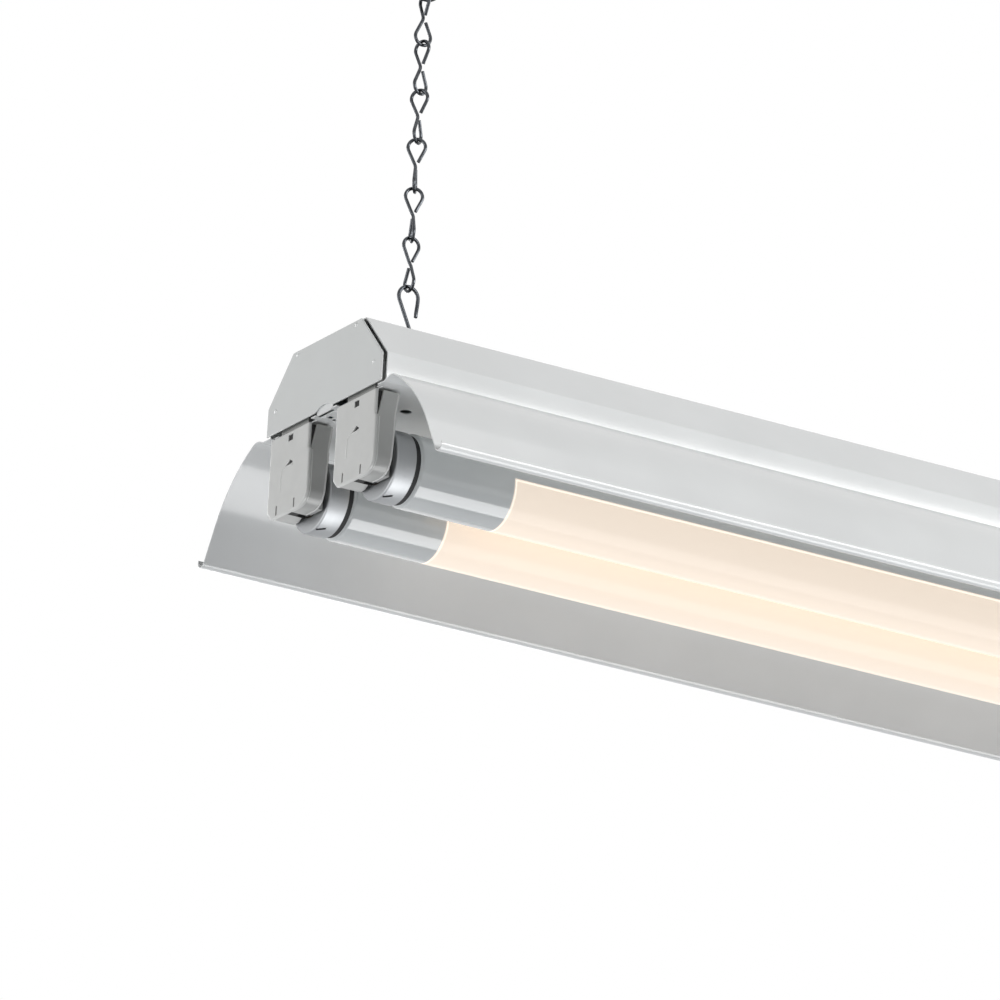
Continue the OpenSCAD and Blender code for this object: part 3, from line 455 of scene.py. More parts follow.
def bent(steps, start, arc_step=9):
    """Mid-sheet path of bent sheet from start: each step goes straight, then turns through
    an angle on an arc of its radius. Rows are y, z and the heading."""
    rows = [np.array([[*start, 0.0]])]
    for straight, turn, radius in steps:
        y, z, heading = rows[-1][-1]
        y, z = y + straight * math.cos(heading), z + straight * math.sin(heading)
        side = math.copysign(radius, turn)
        h = heading + np.linspace(0, turn, 1 + math.ceil(abs(math.degrees(turn)) / arc_step))
        arc = np.stack([y - side * math.sin(heading) + side * np.sin(h),
                        z + side * math.cos(heading) - side * np.cos(h), h], -1)
        rows.append(arc if straight > 1e-9 else arc[1:])
    return np.concatenate(rows)


def housing_half(inset, flanges):
    """Half of the housing's section, moved in by an inset, from the middle of its top."""
    top_y = shoulder_w / 2 - inset * math.tan(slope / 2)
    side_y = housing_w / 2 - inset
    top_z = housing_h - inset
    side_z = side_h - inset * math.tan((math.pi / 2 - slope) / 2)
    upper = bend_r * math.tan(slope / 2)
    lower = bend_r * math.tan((math.pi / 2 - slope) / 2)
    drop = side_z - (inset + bend_r if flanges else 0)
    steps = [(top_y - upper, -slope, bend_r),
             (math.hypot(side_y - top_y, top_z - side_z) - upper - lower, slope - math.pi / 2, bend_r)]
    if flanges:
        steps += [(drop - lower, -math.pi / 2, bend_r), (flange_w - inset - bend_r, 0, bend_r)]
    else:
        steps += [(drop - lower, 0, bend_r)]
    return bent(steps, (0, top_z))


def both_sides(half):
    """A half path joined to its mirror image, as y and z rows from one edge to the other."""
    return np.concatenate([half[:0:-1, :2] * [-1, 1], half[:, :2]])


def lines_at(values, extra):
    """Sorted line places, with the extra ones put in and near twins left out."""
    every = np.sort(np.concatenate([values, extra]))
    return every[np.concatenate([[True], np.diff(every) > 1e-5])]


def with_breaks(path, breaks):
    """A path with points put in where it passes the given y places on its flat middle."""
    flat = np.abs(path[:, 1] - path[len(path) // 2, 1]) < 1e-6
    y = lines_at(path[flat, 0], [b for b in breaks if abs(b) < path[flat, 0].max()])
    flat_rows = np.stack([y, np.full(len(y), path[len(path) // 2, 1])], -1)
    first, last = np.flatnonzero(flat)[[0, -1]]
    return np.concatenate([path[:first], flat_rows, path[last + 1:]])


def ordered(spans):
    """Rectangles as x0, x1, y0, y1, each pair in rising order."""
    return [(min(a, b), max(a, b), min(c, d), max(c, d)) for a, b, c, d in spans]


def folded_sheet(path, xs, cuts, holes):
    """Mid-sheet surface of a bent sheet: a y, z path carried along X, with rectangles cut
    out and round holes punched in its flat middle. A hole takes the place of whole cells,
    and four faces fill the space between its quarter arcs and the cells' border."""

    def at(i, j):
        """Number of the surface's point in row i and column j."""
        return int(i) * len(xs) + int(j)

    ys = path[:, 0]
    surface = np.stack(np.broadcast_arrays(xs[None], path[:, :1], path[:, 1:]), -1)
    middle_y = (ys[1:] + ys[:-1])[:, None] / 2
    middle_x = (xs[1:] + xs[:-1])[None] / 2
    flat_z = path[len(path) // 2, 1]
    flat = np.abs(path[:, 1] - flat_z) < 1e-6
    on_flat = (flat[1:] & flat[:-1])[:, None]
    keep = np.ones((len(path) - 1, len(xs) - 1), bool)
    for x0, x1, y0, y1 in cuts:
        keep &= ~(on_flat & (middle_x > x0) & (middle_x < x1) & (middle_y > y0) & (middle_y < y1))
    points = [surface.reshape(-1, 3)]
    extra = []
    count = surface.shape[0] * surface.shape[1]
    for x, y, radius, half in holes:
        keep &= ~(on_flat & (np.abs(middle_x - x) < half) & (np.abs(middle_y - y) < half))
        columns = np.flatnonzero(np.abs(xs - x) < half + 1e-6)
        rows = np.flatnonzero((np.abs(ys - y) < half + 1e-6) & flat)
        angle = (np.arange(hole_points) - quarter / 2) * 2 * math.pi / hole_points
        points.append(np.stack([
            x + radius * np.cos(angle), y + radius * np.sin(angle), flat_z + 0 * angle], -1))
        borders = [
            [at(i, columns[-1]) for i in rows], [at(rows[-1], j) for j in columns[::-1]],
            [at(i, columns[0]) for i in rows[::-1]], [at(rows[0], j) for j in columns]]
        for q, border in enumerate(borders):
            arc = [count + (quarter * q + k) % hole_points for k in range(quarter + 1)]
            extra.append(border + arc[::-1])
        count += hole_points
    quads = np.array(grid(surface)[1])[keep.reshape(-1)]
    return np.concatenate(points), quads.tolist() + extra


def round_edges(thing, width, segments, degrees):
    """Rounds a piece's edges that are steeper than so many degrees."""
    bevel = thing.modifiers.new("rounded edge", "BEVEL")
    bevel.width = width
    bevel.segments = segments
    bevel.limit_method = "ANGLE"
    bevel.angle_limit = math.radians(degrees)
    bevel.harden_normals = True


def thicken(thing, thickness, edge):
    """Gives a sheet its thickness and breaks its cut edges."""
    solid = thing.modifiers.new("thickness", "SOLIDIFY")
    solid.thickness = thickness
    solid.offset = 0
    solid.use_even_offset = True
    round_edges(thing, edge, 2, 60)


# Baked white enamel: smooth, half glossy, with the faint orange peel of a dipped coat.
peel = 1.6 * mm
cloud = 60 * mm


def enamel(name, colour, deeper):
    """An enamel of one colour with faint clouds of a deeper one."""
    material, tree, shader, place = finish(
        name, colour, 0, 0.14, Coat_Weight=0.25, Coat_Roughness=0.08)
    clouds = add(tree, "ShaderNodeTexNoise", {"Vector": place, "Scale": 1 / cloud, "Detail": 3})
    tint = add(tree, "ShaderNodeValToRGB", {0: clouds})
    tint.color_ramp.elements[0].position = 0.35
    tint.color_ramp.elements[0].color = (*linear(deeper), 1)
    tint.color_ramp.elements[1].position = 0.65
    tint.color_ramp.elements[1].color = (*linear(colour), 1)
    feed(shader, "Base Color", tint)
    waves = add(tree, "ShaderNodeTexNoise", {"Vector": place, "Scale": 1 / peel, "Detail": 2})
    gloss = add(tree, "ShaderNodeMapRange", {0: waves, 1: 0.3, 2: 0.7, 3: 0.12, 4: 0.17})
    feed(shader, "Roughness", gloss)
    skin = add(tree, "ShaderNodeBump", {"Height": waves, "Strength": 0.12, "Distance": 0.05 * mm})
    feed(shader, "Normal", skin)
    return material


white_enamel = enamel("baked white enamel", "#e5e7e7", "#e0e2e2")


def at_end(part, left):
    """Places a part at one end: X from the end plate's face inwards, Y from the middle and
    Z from the housing's bottom edge. The right end is the left one turned half round."""
    hand = 1 if left else -1
    return part[0] * [hand, hand, 1] + [-hand * half_length, 0, edge_z], part[1]


# The slots and the holes in the housing's top. Each hole stands in a square cell of it
slot_w = 4 * mm
bridge_w = 2.4 * mm
slot_end = 7.5 * mm
fixing_x, fixing_r = 120 * mm, 3.25 * mm
knockout_x, knockout_r = middle("inlet_bushing")[0], 11.1 * mm
ground_x, ground_r = middle("ground_screw")[0], 2.1 * mm
nut_half = 4 * mm
bolt_x, bolt_r = -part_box("ballast_nuts")[0].x - nut_half, 2.05 * mm
cell = 12 * mm
path = with_breaks(both_sides(housing_half(sheet_t / 2, True)), [
    s * y for s in (-1, 1) for y in (slot_w / 2, cell)])
ends = [s * d - middle("right_s_hook")[0] for s in (-1, 1) for d in (bridge_w / 2, slot_end)]
hole_list = [(-s * (half_length - fixing_x), 0, fixing_r, cell) for s in (-1, 1)]
hole_list += [(knockout_x, 0, knockout_r, cell), (ground_x, 0, ground_r, cell)]
hole_list += [(s * bolt_x, 0, bolt_r, cell) for s in (-1, 1)]
xs = lines_at([-housing_x, housing_x], [s * x for s in (-1, 1) for x in ends]
              + [hole[0] + s * cell for hole in hole_list for s in (-1, 1)])
slots = ordered((s * a, s * b, -slot_w / 2, slot_w / 2) for s in (-1, 1) for a, b in (
    (ends[1], ends[0]), (ends[2], ends[3])))
points, faces = folded_sheet(path, xs, slots, hole_list)
housing = piece("folded_housing", [(points + [0, 0, edge_z], faces)], white_enamel, "fixture",
                ["housing"])
thicken(housing, sheet_t, housing_edge)

# End plates
# A flat plate closes each end of the housing, with a rim turned in all round and an arched
# notch below for the reflector's tongue. Small pressed dimples grip the housing. Its enamel
# is a shade greyer than the housing's, as painted shade: the ends face less of the light.
plate_t, face_edge, back_edge = 0.8 * mm, 0.35 * mm, 0.1 * mm
rim_l, rim_gap, rim_up = 10 * mm, 6 * mm, 0.8 * mm
notch_w, notch_h = 20 * mm, 3.8 * mm
plate_inset = 1 * mm
plate_low, plate_middle = 1.3 * mm, 22 * mm
dimple_r, dimple_h = 1.7 * mm, 0.35 * mm
dimples = [(-47.9 * mm, 13.2 * mm), (-28.5 * mm, 38.0 * mm)]
# The greyer copy of the white enamel is painted shade on the end plates
end_shade_enamel = enamel("baked white enamel greyed as painted shade", "#dadddc", "#d6d8d7")


def inset_by(outline, distance):
    """A closed outline moved inwards, corner by corner along the bisector of its sides."""
    side = np.roll(outline, -1, 0) - outline
    side /= np.linalg.norm(side, axis=1, keepdims=True)
    normal = np.stack([-side[:, 1], side[:, 0]], -1)
    before = np.roll(normal, 1, 0)
    both = (normal + before) / (1 + np.sum(normal * before, 1, keepdims=True))
    return outline + distance * both


def plate(outline, centre, x0, x1, round_front, round_back):
    """A solid plate from x0 to x1: a closed y, z outline, counter-clockwise, whose front and
    back edges are rounded over. Both faces close on the centre."""

    def edge(x, way, radius):
        """Rows of x and inset from a face, past its flat rim, round to the side."""
        rows = [(x + way * radius * (1 - math.cos(a)), radius * (1 - math.sin(a)))
                for a in edge_turn]
        return [(x, 1.5 * radius + 0.2 * mm)] + rows

    rows = edge(x0, 1, round_front) + edge(x1, -1, round_back)[::-1]
    loops = [np.concatenate([np.full((len(outline), 1), x), inset_by(outline, d)], 1)
             for x, d in rows]
    first = np.broadcast_to([x0, *centre], loops[0].shape)
    last = np.broadcast_to([x1, *centre], loops[0].shape)
    return grid(np.stack([first, *loops, last]), closed=True)


def ribbon(path, thickness, x0, x1):
    """A solid strip of sheet: a y, z path of one thickness, carried from x0 to x1."""
    way = np.gradient(path, axis=0)
    way /= np.linalg.norm(way, axis=1, keepdims=True)
    out = np.stack([-way[:, 1], way[:, 0]], -1) * thickness / 2
    sides = [(x0, path + out), (x1, path + out), (x1, path - out), (x0, path - out)]
    rows = np.stack([np.concatenate([np.full((len(path), 1), x), p], 1) for x, p in sides], 1)
    points, faces = grid(rows, closed=True)
    last = 4 * (len(path) - 1)
    return points, faces + [[0, 1, 2, 3], [last + 3, last + 2, last + 1, last]]


def dimple(y, z):
    """A small round dome pressed outwards from a plate whose face is at x = 0: its height
    falls to the rim as a cosine. It closes just inside the plate."""
    t = np.linspace(1, 0, 9)
    rise = dimple_h * (0.5 + 0.5 * np.cos(math.pi * t))
    return moved(turned([(0, 0.1 * mm), *zip(dimple_r * t, 0.05 * mm - rise)], 24, True), (0, y, z))


arch_r = (notch_w ** 2 / 4 + notch_h ** 2) / (2 * notch_h)
spread = math.asin(notch_w / 2 / arch_r)
arch_angle = np.linspace(spread, -spread, 17)
arch = np.stack([arch_r * np.sin(arch_angle), notch_h - arch_r * (1 - np.cos(arch_angle))], -1)
arch[:, 1] = np.maximum(arch[:, 1], plate_low)
outer = both_sides(housing_half(plate_inset, False))
outer[[0, -1], 1] = plate_low
outer = np.concatenate([outer, arch])[::-1]
rim_path = both_sides(housing_half(sheet_t + rim_gap, False))
rim_path[[0, -1], 1] = plate_low + rim_up
parts = [plate(outer, (0, plate_middle), 0, plate_t, face_edge, back_edge),
         ribbon(rim_path, plate_t, plate_t, plate_t + rim_l)]
parts += [dimple(s * y, z) for y, z in dimples for s in (-1, 1)]
for side in ("left", "right"):
    piece(f"{side}_pressed_end_plate", [at_end(part, side == "left") for part in parts],
          end_shade_enamel, "fixture", [f"{side}_end_plate"])

# Reflector
# One thin steel sheet, roll formed: a flat pan against the housing's flanges, a shoulder
# bead, a curved wing and a curled hem on each side. It is punched at both ends for the
# lampholders and enamelled white, and its tongue is turned up into the end plate's notch.
reflector_t, reflector_edge = 0.6 * mm, 0.15 * mm
reflector_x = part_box("reflector")[1].x
_, lamp_y, lamp_z = middle("front_lamp_glass") * [1, -1, 1] - [0, 0, edge_z]
pan_z = -0.35 * mm
pan_half_w = housing_w / 2 + 2.65 * mm
foot_r, crown_r, wing_r, hem_r = 3 * mm, 9 * mm, 86 * mm, 3 * mm
rise_angle, wing_start, wing_end, hem_curl = (math.radians(a) for a in (24, 29, 61, 176))
bead_straight, crown_straight, wing_straight = 1.5 * mm, 0.6 * mm, 19 * mm
half = bent([
    (pan_half_w - foot_r * math.tan(rise_angle / 2), rise_angle, foot_r),
    (bead_straight, -rise_angle - wing_start, crown_r),
    (crown_straight, wing_start - wing_end, wing_r),
    (wing_straight, hem_curl, hem_r)], (0, pan_z), 4)
low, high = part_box("left_front_holder_face")
face_gap = 0.3 * mm
round_w = -low.y - lamp_y + face_gap
plain_w = high.y + lamp_y + face_gap
face_cut = 3.4 * mm
neck_cut, neck_half = 13.7 * mm, 13.6 * mm
tongue_x, tongue_half, tongue_up = 1.1 * mm, 7.8 * mm, 0.8 * mm
tongue_gap, tongue_side = 2.2 * mm, 0.6 * mm
past = 1 * mm
small_hole_x, small_hole_y, small_hole_r = 31.7 * mm, lamp_y - 5 * mm, 3 * mm
hole_cell = 4.2 * mm
tab_slots = [(5.6 * mm, 8.4 * mm, 2.4 * mm, 5.6 * mm), (9.4 * mm, 11.6 * mm, 5.0 * mm, 7.4 * mm)]


def end_cuts(hand):
    """Rectangles cut from one end of the pan, as x0, x1, y0, y1 in the fixture's frame.
    Those at the edge start past it."""
    tongue_cut = tongue_half - tongue_side
    rectangles = [(-past, tongue_x + tongue_gap, -tongue_cut, tongue_cut), *tab_slots]
    for y in (-lamp_y, lamp_y):
        rectangles += [(-past, face_cut, y - round_w, y + plain_w),
                       (-past, neck_cut, y - neck_half, y + neck_half)]
    return ordered((hand * (x0 - half_length), hand * (x1 - half_length), hand * y0, hand * y1)
                   for x0, x1, y0, y1 in rectangles)


cuts = end_cuts(1) + end_cuts(-1)
hole_list = [(-h * (half_length - small_hole_x), h * s * small_hole_y, small_hole_r, hole_cell)
             for h in (-1, 1) for s in (-1, 1)]
y_breaks = [y for cut in cuts for y in cut[2:]] + [
    hole[1] + s * hole_cell for hole in hole_list for s in (-1, 1)]
xs = lines_at([-reflector_x, reflector_x], [
    x for cut in cuts for x in cut[:2] if abs(x) < reflector_x] + [
    hole[0] + s * hole_cell for hole in hole_list for s in (-1, 1)])
points, faces = folded_sheet(with_breaks(both_sides(half), y_breaks), xs, cuts, hole_list)
reflector = piece("hemmed_reflector", [(points + [0, 0, edge_z], faces)], white_enamel, "fixture",
                  ["reflector"])
thicken(reflector, reflector_t, reflector_edge)
tab = np.linspace([0, pan_z], [0, notch_h + tongue_up], 9)
points, faces = ribbon(tab, reflector_t, -tongue_half, tongue_half)
points = points[:, [1, 0, 2]] + [tongue_x + reflector_t / 2, 0, 0]
for side in ("left", "right"):
    piece(f"{side}_reflector_tongue", [at_end((points, faces), side == "left")], white_enamel,
          "fixture")

# Lampholders
# Four rotary lampholders of pale grey urea, moulded in two halves: a flat face plate and a
# deep body with a band round its lower corner. The neck snaps through the reflector.
low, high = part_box("left_front_holder_face")
holder_round = -low.y - lamp_y
holder_plain = high.y + lamp_y
holder_low = low.z - edge_z - lamp_z
face_top = high.z - edge_z - lamp_z
low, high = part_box("left_front_holder_body")
face_t, face_round = 1.65 * mm, 1 * mm
body_x = high.x + half_length
neck_top = high.z - edge_z - lamp_z
body_top = -lamp_z - 1.9 * mm
corner_r = 9.5 * mm
chamfer = 4.2 * mm
step_z = body_top - 13.6 * mm
neck_half_w = 13.3 * mm
gap_depth = 7 * mm

# Moulded urea: a dense plastic with a soft shine and a fine spark-eroded grain, which is
# coarser here than the real one, so that it shows.
grain = 0.35 * mm
flow_w = 30 * grain


def moulded(name, colour, roughness, depth):
    """A moulded plastic with a fine grain of the given depth."""
    material, tree, shader, place = finish(name, colour, 0, roughness)
    speck = add(tree, "ShaderNodeTexNoise", {"Vector": place, "Scale": 1 / grain, "Detail": 3})
    flow = add(tree, "ShaderNodeTexNoise", {"Vector": place, "Scale": 1 / flow_w, "Detail": 2})
    # A Mix node of colours has them as its inputs 6 and 7, and gives its output 2
    tint = add(tree, "ShaderNodeMix", {
        0: flow, 6: (*[c * 0.93 for c in linear(colour)], 1),
        7: (*[min(1, c * 1.05) for c in linear(colour)], 1)}, data_type="RGBA")
    feed(shader, "Base Color", tint, 2)
    pits = add(tree, "ShaderNodeBump", {"Height": speck, "Strength": 0.2, "Distance": depth})
    feed(shader, "Normal", pits)
    return material


face_urea = moulded("moulded pale grey urea", "#d3d4d2", 0.24, 0.02 * mm)
# The body's urea is a darker copy of the face's: its deeper grey is painted shade
shaded_body_urea = moulded("moulded pale grey urea darkened as painted shade", "#b3b4b2", 0.24, 0.02 * mm)
shade_black_card = moulded("black card as painted shade", "#141414", 0.7, 0.05 * mm)


def corner(y, z, radius, start, count=5):
    """Points of a rounded corner about its centre, through a quarter turn from start."""
    angle = start + np.linspace(0, math.pi / 2, count)
    return np.stack([y + radius * np.cos(angle), z + radius * np.sin(angle)], -1)


def holder_outline(inset, top, narrower=0):
    """Side view about the lamp's axis, counter-clockwise: a large corner below on the
    rounded side, a small chamfer on the plain side, and tight corners at the top. Above the
    step the rounded side is narrower."""
    y0, y1, z0 = -holder_round + inset, holder_plain - inset, holder_low + inset
    tight = 0.8 * mm
    r = corner_r - inset
    cut = chamfer - inset * 0.6
    bevel = np.array([[y1 - cut - 0.5 * mm, z0], [y1 - cut + 0.4 * mm, z0 + 0.25 * mm],
                      [y1 - 0.25 * mm, z0 + cut - 0.4 * mm], [y1, z0 + cut + 0.5 * mm]])
    rows = [corner(y0 + r, z0 + r, r, math.pi, 12), bevel,
            corner(y1 - tight, top - tight, tight, 0),
            corner(y0 + narrower + tight, top - tight, tight, math.pi / 2)]
    if narrower:
        rows.append([[y0 + narrower, step_z + 0.5 * mm], [y0 + 0.2 * mm, step_z],
                     [y0, step_z - 0.4 * mm]])
    return np.concatenate(rows)


def prism(outline, start, end, axis):
    """A closed outline carried along one axis: X for y, z points, Y for x, z points and Z
    for x, y points."""
    outline = np.asarray(outline, float)
    rows = [np.insert(outline, axis, level, axis=1) for level in (start, end)]
    points, faces = grid(np.stack(rows), closed=True)
    n = len(outline)
    return points, faces + [list(range(n))[::-1], list(range(n, 2 * n))]


def box_between(low, high):
    """A box from its lowest to its highest corner."""
    (x0, y0, z0), (x1, y1, z1) = low, high
    return prism([(y0, z0), (y1, z0), (y1, z1), (y0, z1)], x0, x1, 0)


def carve(thing, parts, edge=0):
    """Cuts closed parts out of a piece, and rounds the edges where an edge size is given."""
    cutter = piece("cutter", parts, thing.data.materials[0], "fixture", sharp=30)
    cut = thing.modifiers.new("moulded hollows", "BOOLEAN")
    cut.operation = "DIFFERENCE"
    cut.solver = "EXACT"
    cut.use_self = True
    cut.object = cutter
    bpy.context.view_layer.update()
    seen = thing.evaluated_get(bpy.context.evaluated_depsgraph_get())
    thing.data = bpy.data.meshes.new_from_object(seen)
    thing.modifiers.clear()
    bpy.data.objects.remove(cutter)
    thing.data.set_sharp_from_angle(angle=math.radians(35))
    if edge:
        round_edges(thing, edge, 3, 50)


def at_holder(part, left, front):
    """Places a part at one end of one lamp, with the lamp's axis as X."""
    return at_end(moved(part, (0, -lamp_y if left == front else lamp_y, lamp_z)), left)


# The face's openings: a window and a sharp flag below it, and two slits at the foot
window_y, window_down, window_depth = (-3.6 * mm, 0.8 * mm), (5.4 * mm, 2.1 * mm), 9 * mm
flag = np.array([(-4.6, 14.9), (-4.6, 14.3), (-2.4, 14.0), (0.6, 13.9), (2.6, 13.2), (2.6, 13.7),
                 (-0.4, 15.0), (-1.9, 16.5)]) * mm
flag_depth = 5 * mm
slit_ys, slit_half, slit_depth = (-8.1 * mm, 9.1 * mm), 0.55 * mm, 4 * mm
slit_up = (1.2 * mm, 6.2 * mm)
deep_cuts = [
    box_between((-past, window_y[0], face_top - window_down[0]),
                (window_depth, window_y[1], face_top - window_down[1])),
    prism(flag, -past, flag_depth, 0)]
deep_cuts += [
    box_between((-past, y - slit_half, holder_low + slit_up[0]),
                (slit_depth, y + slit_half, holder_low + slit_up[1])) for y in slit_ys]
# A black card lies behind the face as painted shade, and shows as the dark of its openings
card_x, card_y = (0.6 * mm, 1.2 * mm), (-9.5 * mm, 10.2 * mm)
card_up, card_down = 0.9 * mm, 1.6 * mm
card = box_between((card_x[0], card_y[0], holder_low + card_up),
                   (card_x[1], card_y[1], face_top - card_down))
# A low rib on the face: level beside the flag, round a corner, then down past the axis
rib_proud, rib_wire, rib_end = 0.35 * mm, 0.6 * mm, 0.3 * mm
rib_r, rib_y, rib_z = 3.4 * mm, 3 * mm, 10 * mm
rib_angle = np.linspace(math.pi / 2, 0, 9)
rib_level = [(y * mm, rib_z + rib_r) for y in (-4.8, -1, 2)]
rib_corner = np.stack([
    rib_y + rib_r * np.cos(rib_angle), rib_z + rib_r * np.sin(rib_angle)], -1)
rib_down = np.array([(6.4, 7), (6.5, 4), (6.6, 1.5)]) * mm
rib = np.insert(np.concatenate([rib_level, rib_corner, rib_down]), 0, rib_proud, axis=1)
face_rib = wire(rib, np.array([1.0, 0, 0]), rib_wire, rib_end)
# The band's edges, seen from the side: a wedge is open in front of it above the step, and a
# gap behind it widens from its foot up to its top
side_y = -holder_round
wedge_x, wedge_step, wedge_top = face_t - 0.6 * mm, face_t + 0.1 * mm, face_t + 3 * mm
wedge = np.array([
    (wedge_x, body_top + past), (wedge_x, step_z), (wedge_step, step_z),
    (wedge_top, body_top + past)])
front_wedge = prism(wedge, side_y - past, side_y + 2 * gap_depth, 1)
# A black card in the wedge paints the shade inside it
wedge_card = prism(wedge - [0, 1.6 * mm], side_y + 1.8 * mm, side_y + 2 * gap_depth, 1)
band_back, behind = 10.9 * mm, 15 * mm
back_gap = prism([
    (13.6 * mm, body_top + past), (11.8 * mm, step_z), (12.1 * mm, step_z - 1 * mm),
    (band_back, holder_low + 6 * mm), (band_back, holder_low - past), (behind, holder_low - past),
    (behind, body_top + past)], side_y - past, side_y + gap_depth, 1)
low_gap = box_between((band_back, side_y + gap_depth - 0.1 * mm, holder_low - past),
                      (behind, -2.5 * mm, holder_low + 1.2 * mm))
under = prism([(10.7 * mm, 1.3 * mm), (behind, 1.3 * mm), (behind, 14 * mm)],
              holder_low - past, holder_low + 3 * mm, 2)
# Black cards paint the shade in the slot behind the pins' tips and along one side. The pins turn free of
# both
slot_x, slot_y = 2.5 * mm, (-2.6 * mm, 1.9 * mm)
pin_slot = box_between((slot_x, slot_y[0], holder_low - past), (body_x + past, slot_y[1], 0))
dark_gap, dark_up = 0.1 * mm, 0.4 * mm
slot_card = box_between((slot_x + dark_gap, slot_y[0] + dark_gap, holder_low + dark_up),
                        (7.2 * mm, 1.2 * mm, 0))
slot_liner = box_between((slot_x + dark_gap, 1.35 * mm, holder_low + dark_up),
                         (body_x - 1.4 * mm, slot_y[1] - dark_gap, 0))


def band_rim(top, places):
    """Path of a raised rim along the band: down its side, round its foot and in below. Its
    X follows the places given from the top to the foot."""
    inset = 0.6 * mm
    y0, z0, r = inset - holder_round, holder_low + inset, corner_r - inset
    arc = corner(y0 + r, z0 + r, r, math.pi, 14)
    side = np.linspace([y0, top], [y0, z0 + r], 13)[:-1]
    foot = np.array([[y0 + r + 3 * mm, z0], [y0 + r + 6 * mm, z0], [-3.4 * mm, z0]])
    path = np.concatenate([side, arc, foot])
    levels, level_x = np.array(places).T
    return np.column_stack([np.interp(-path[:, 1], -levels, level_x), path])


rim_wire, rim_end, rim_below = 0.5 * mm, 0.2 * mm, 0.6 * mm
front_rim_x, back_rim_x = face_t + 0.65 * mm, 10.3 * mm
front_rim = band_rim(step_z - rim_below, [(step_z, front_rim_x), (holder_low, front_rim_x)])
back_rim = band_rim(body_top - rim_below, [
    (body_top, 12.9 * mm), (step_z, 11.1 * mm), (step_z - 1.2 * mm, 11.4 * mm),
    (holder_low + 6 * mm, back_rim_x), (holder_low, back_rim_x)])
band_rims = [wire(rim, np.array([1.0, 0.2, 0]), rim_wire, rim_end, 12)
             for rim in (front_rim, back_rim)]
# The rotor's bore, and the neck that goes up through the reflector
bore_r, bore_x = 10.1 * mm, (9 * mm, 16 * mm)
bore = turned([(0, bore_x[0]), (bore_r, bore_x[0]), (bore_r, bore_x[1]), (0, bore_x[1])], 48, True)
neck = box_between((3 * mm, -neck_half_w, 20 * mm), (body_x - 0.6 * mm, neck_half_w, neck_top))
# The face is narrower above the step, and the shell stands a little inside it all round
face_narrower, shell_inset, shell_short = 1.3 * mm, 0.45 * mm, 0.3 * mm
shell_front_round, shell_back_round, shell_edge = 0.3 * mm, 0.4 * mm, 0.6 * mm
holder_middle = (0, 8 * mm)
face_plate = plate(holder_outline(0, face_top, face_narrower), holder_middle, 0, face_t,
                   face_round, back_edge)
shell = plate(holder_outline(shell_inset, body_top), holder_middle, face_t, body_x - shell_short,
              shell_front_round, shell_back_round)
hollows = [front_wedge, back_gap, low_gap, pin_slot, under, bore, *deep_cuts]
for left in (True, False):
    for front in (True, False):
        place_name = f"{'left' if left else 'right'}_{'front' if front else 'rear'}"
        face = piece(f"{place_name}_face_plate", [at_holder(face_plate, left, front)],
                     face_urea, "fixture", [f"{place_name}_holder_face"])
        carve(face, [at_holder(part, left, front) for part in deep_cuts])
        piece(f"{place_name}_face_rib", [at_holder(face_rib, left, front)],
              face_urea, "fixture")
        body = piece(f"{place_name}_holder_shell", [at_holder(shell, left, front)],
                     shaded_body_urea, "fixture", [f"{place_name}_holder_body"])
        carve(body, [at_holder(part, left, front) for part in hollows], shell_edge)
        cards = [at_holder(part, left, front) for part in (card, slot_card, slot_liner, wedge_card)]
        # The black cards are painted shade in the face's openings, the slot and the wedge
        piece(f"{place_name}_painted_shade_card", cards, shade_black_card, "fixture")
        # The band's rims take the face's paler urea as a painted highlight along its edges
        piece(f"{place_name}_band_rims", [at_holder(rim, left, front) for rim in band_rims],
              face_urea, "fixture")
        piece(f"{place_name}_holder_neck", [at_holder(neck, left, front)],
              shaded_body_urea, "fixture")

# Lamps
# Two fluorescent tubes: glass coated white inside, with drawn aluminium caps crimped on and
# cement behind them, its near black partly painted shade in the groove. The glow starts a
# little way in from each cap.
low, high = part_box("front_lamp_glass")
tube_r = (high.z - low.z) / 2
low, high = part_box("front_lamp_left_cap")
cap_x0 = low.x + half_length
cap_x1 = high.x + half_length - 0.8 * mm
cap_r = (high.z - low.z) / 2
shoulder_x = cap_x1 + 3.3 * mm
# The glow ends short of the caps and, outside strip_y, above strip_z, where a strip of painted shade lies
glow_end = half_length - 83 * mm
glow_edge = 1.2 * mm
strip_z = edge_z + lamp_z + 3 * mm
strip_y = lamp_y + 13 * mm
glow_strength = 0.39
rim_strength = 0.4
cloud_w = 25 * mm

# Phosphor coated glass: white and bright where it glows, grey and glossy where it doesn't.
# That is at its ends, and in a narrow strip of painted shade along each tube's outer shoulder.
# A brighter line, painted on as a highlight, borders the glow.
lamp_glass, tree, shader, place = finish(
    "phosphor coated glass", "#d4d6d6", 0, 0.1, Coat_Roughness=0.03)
along_across_up = add(tree, "ShaderNodeSeparateXYZ", {0: place})
along, across, up = along_across_up.outputs
from_middle = add(tree, "ShaderNodeMath", {0: along}, operation="ABSOLUTE")
from_centre_line = add(tree, "ShaderNodeMath", {0: across}, operation="ABSOLUTE")
lit_along = add(tree, "ShaderNodeMapRange", {
    0: from_middle, 1: glow_end + glow_edge / 2, 2: glow_end - glow_edge / 2})
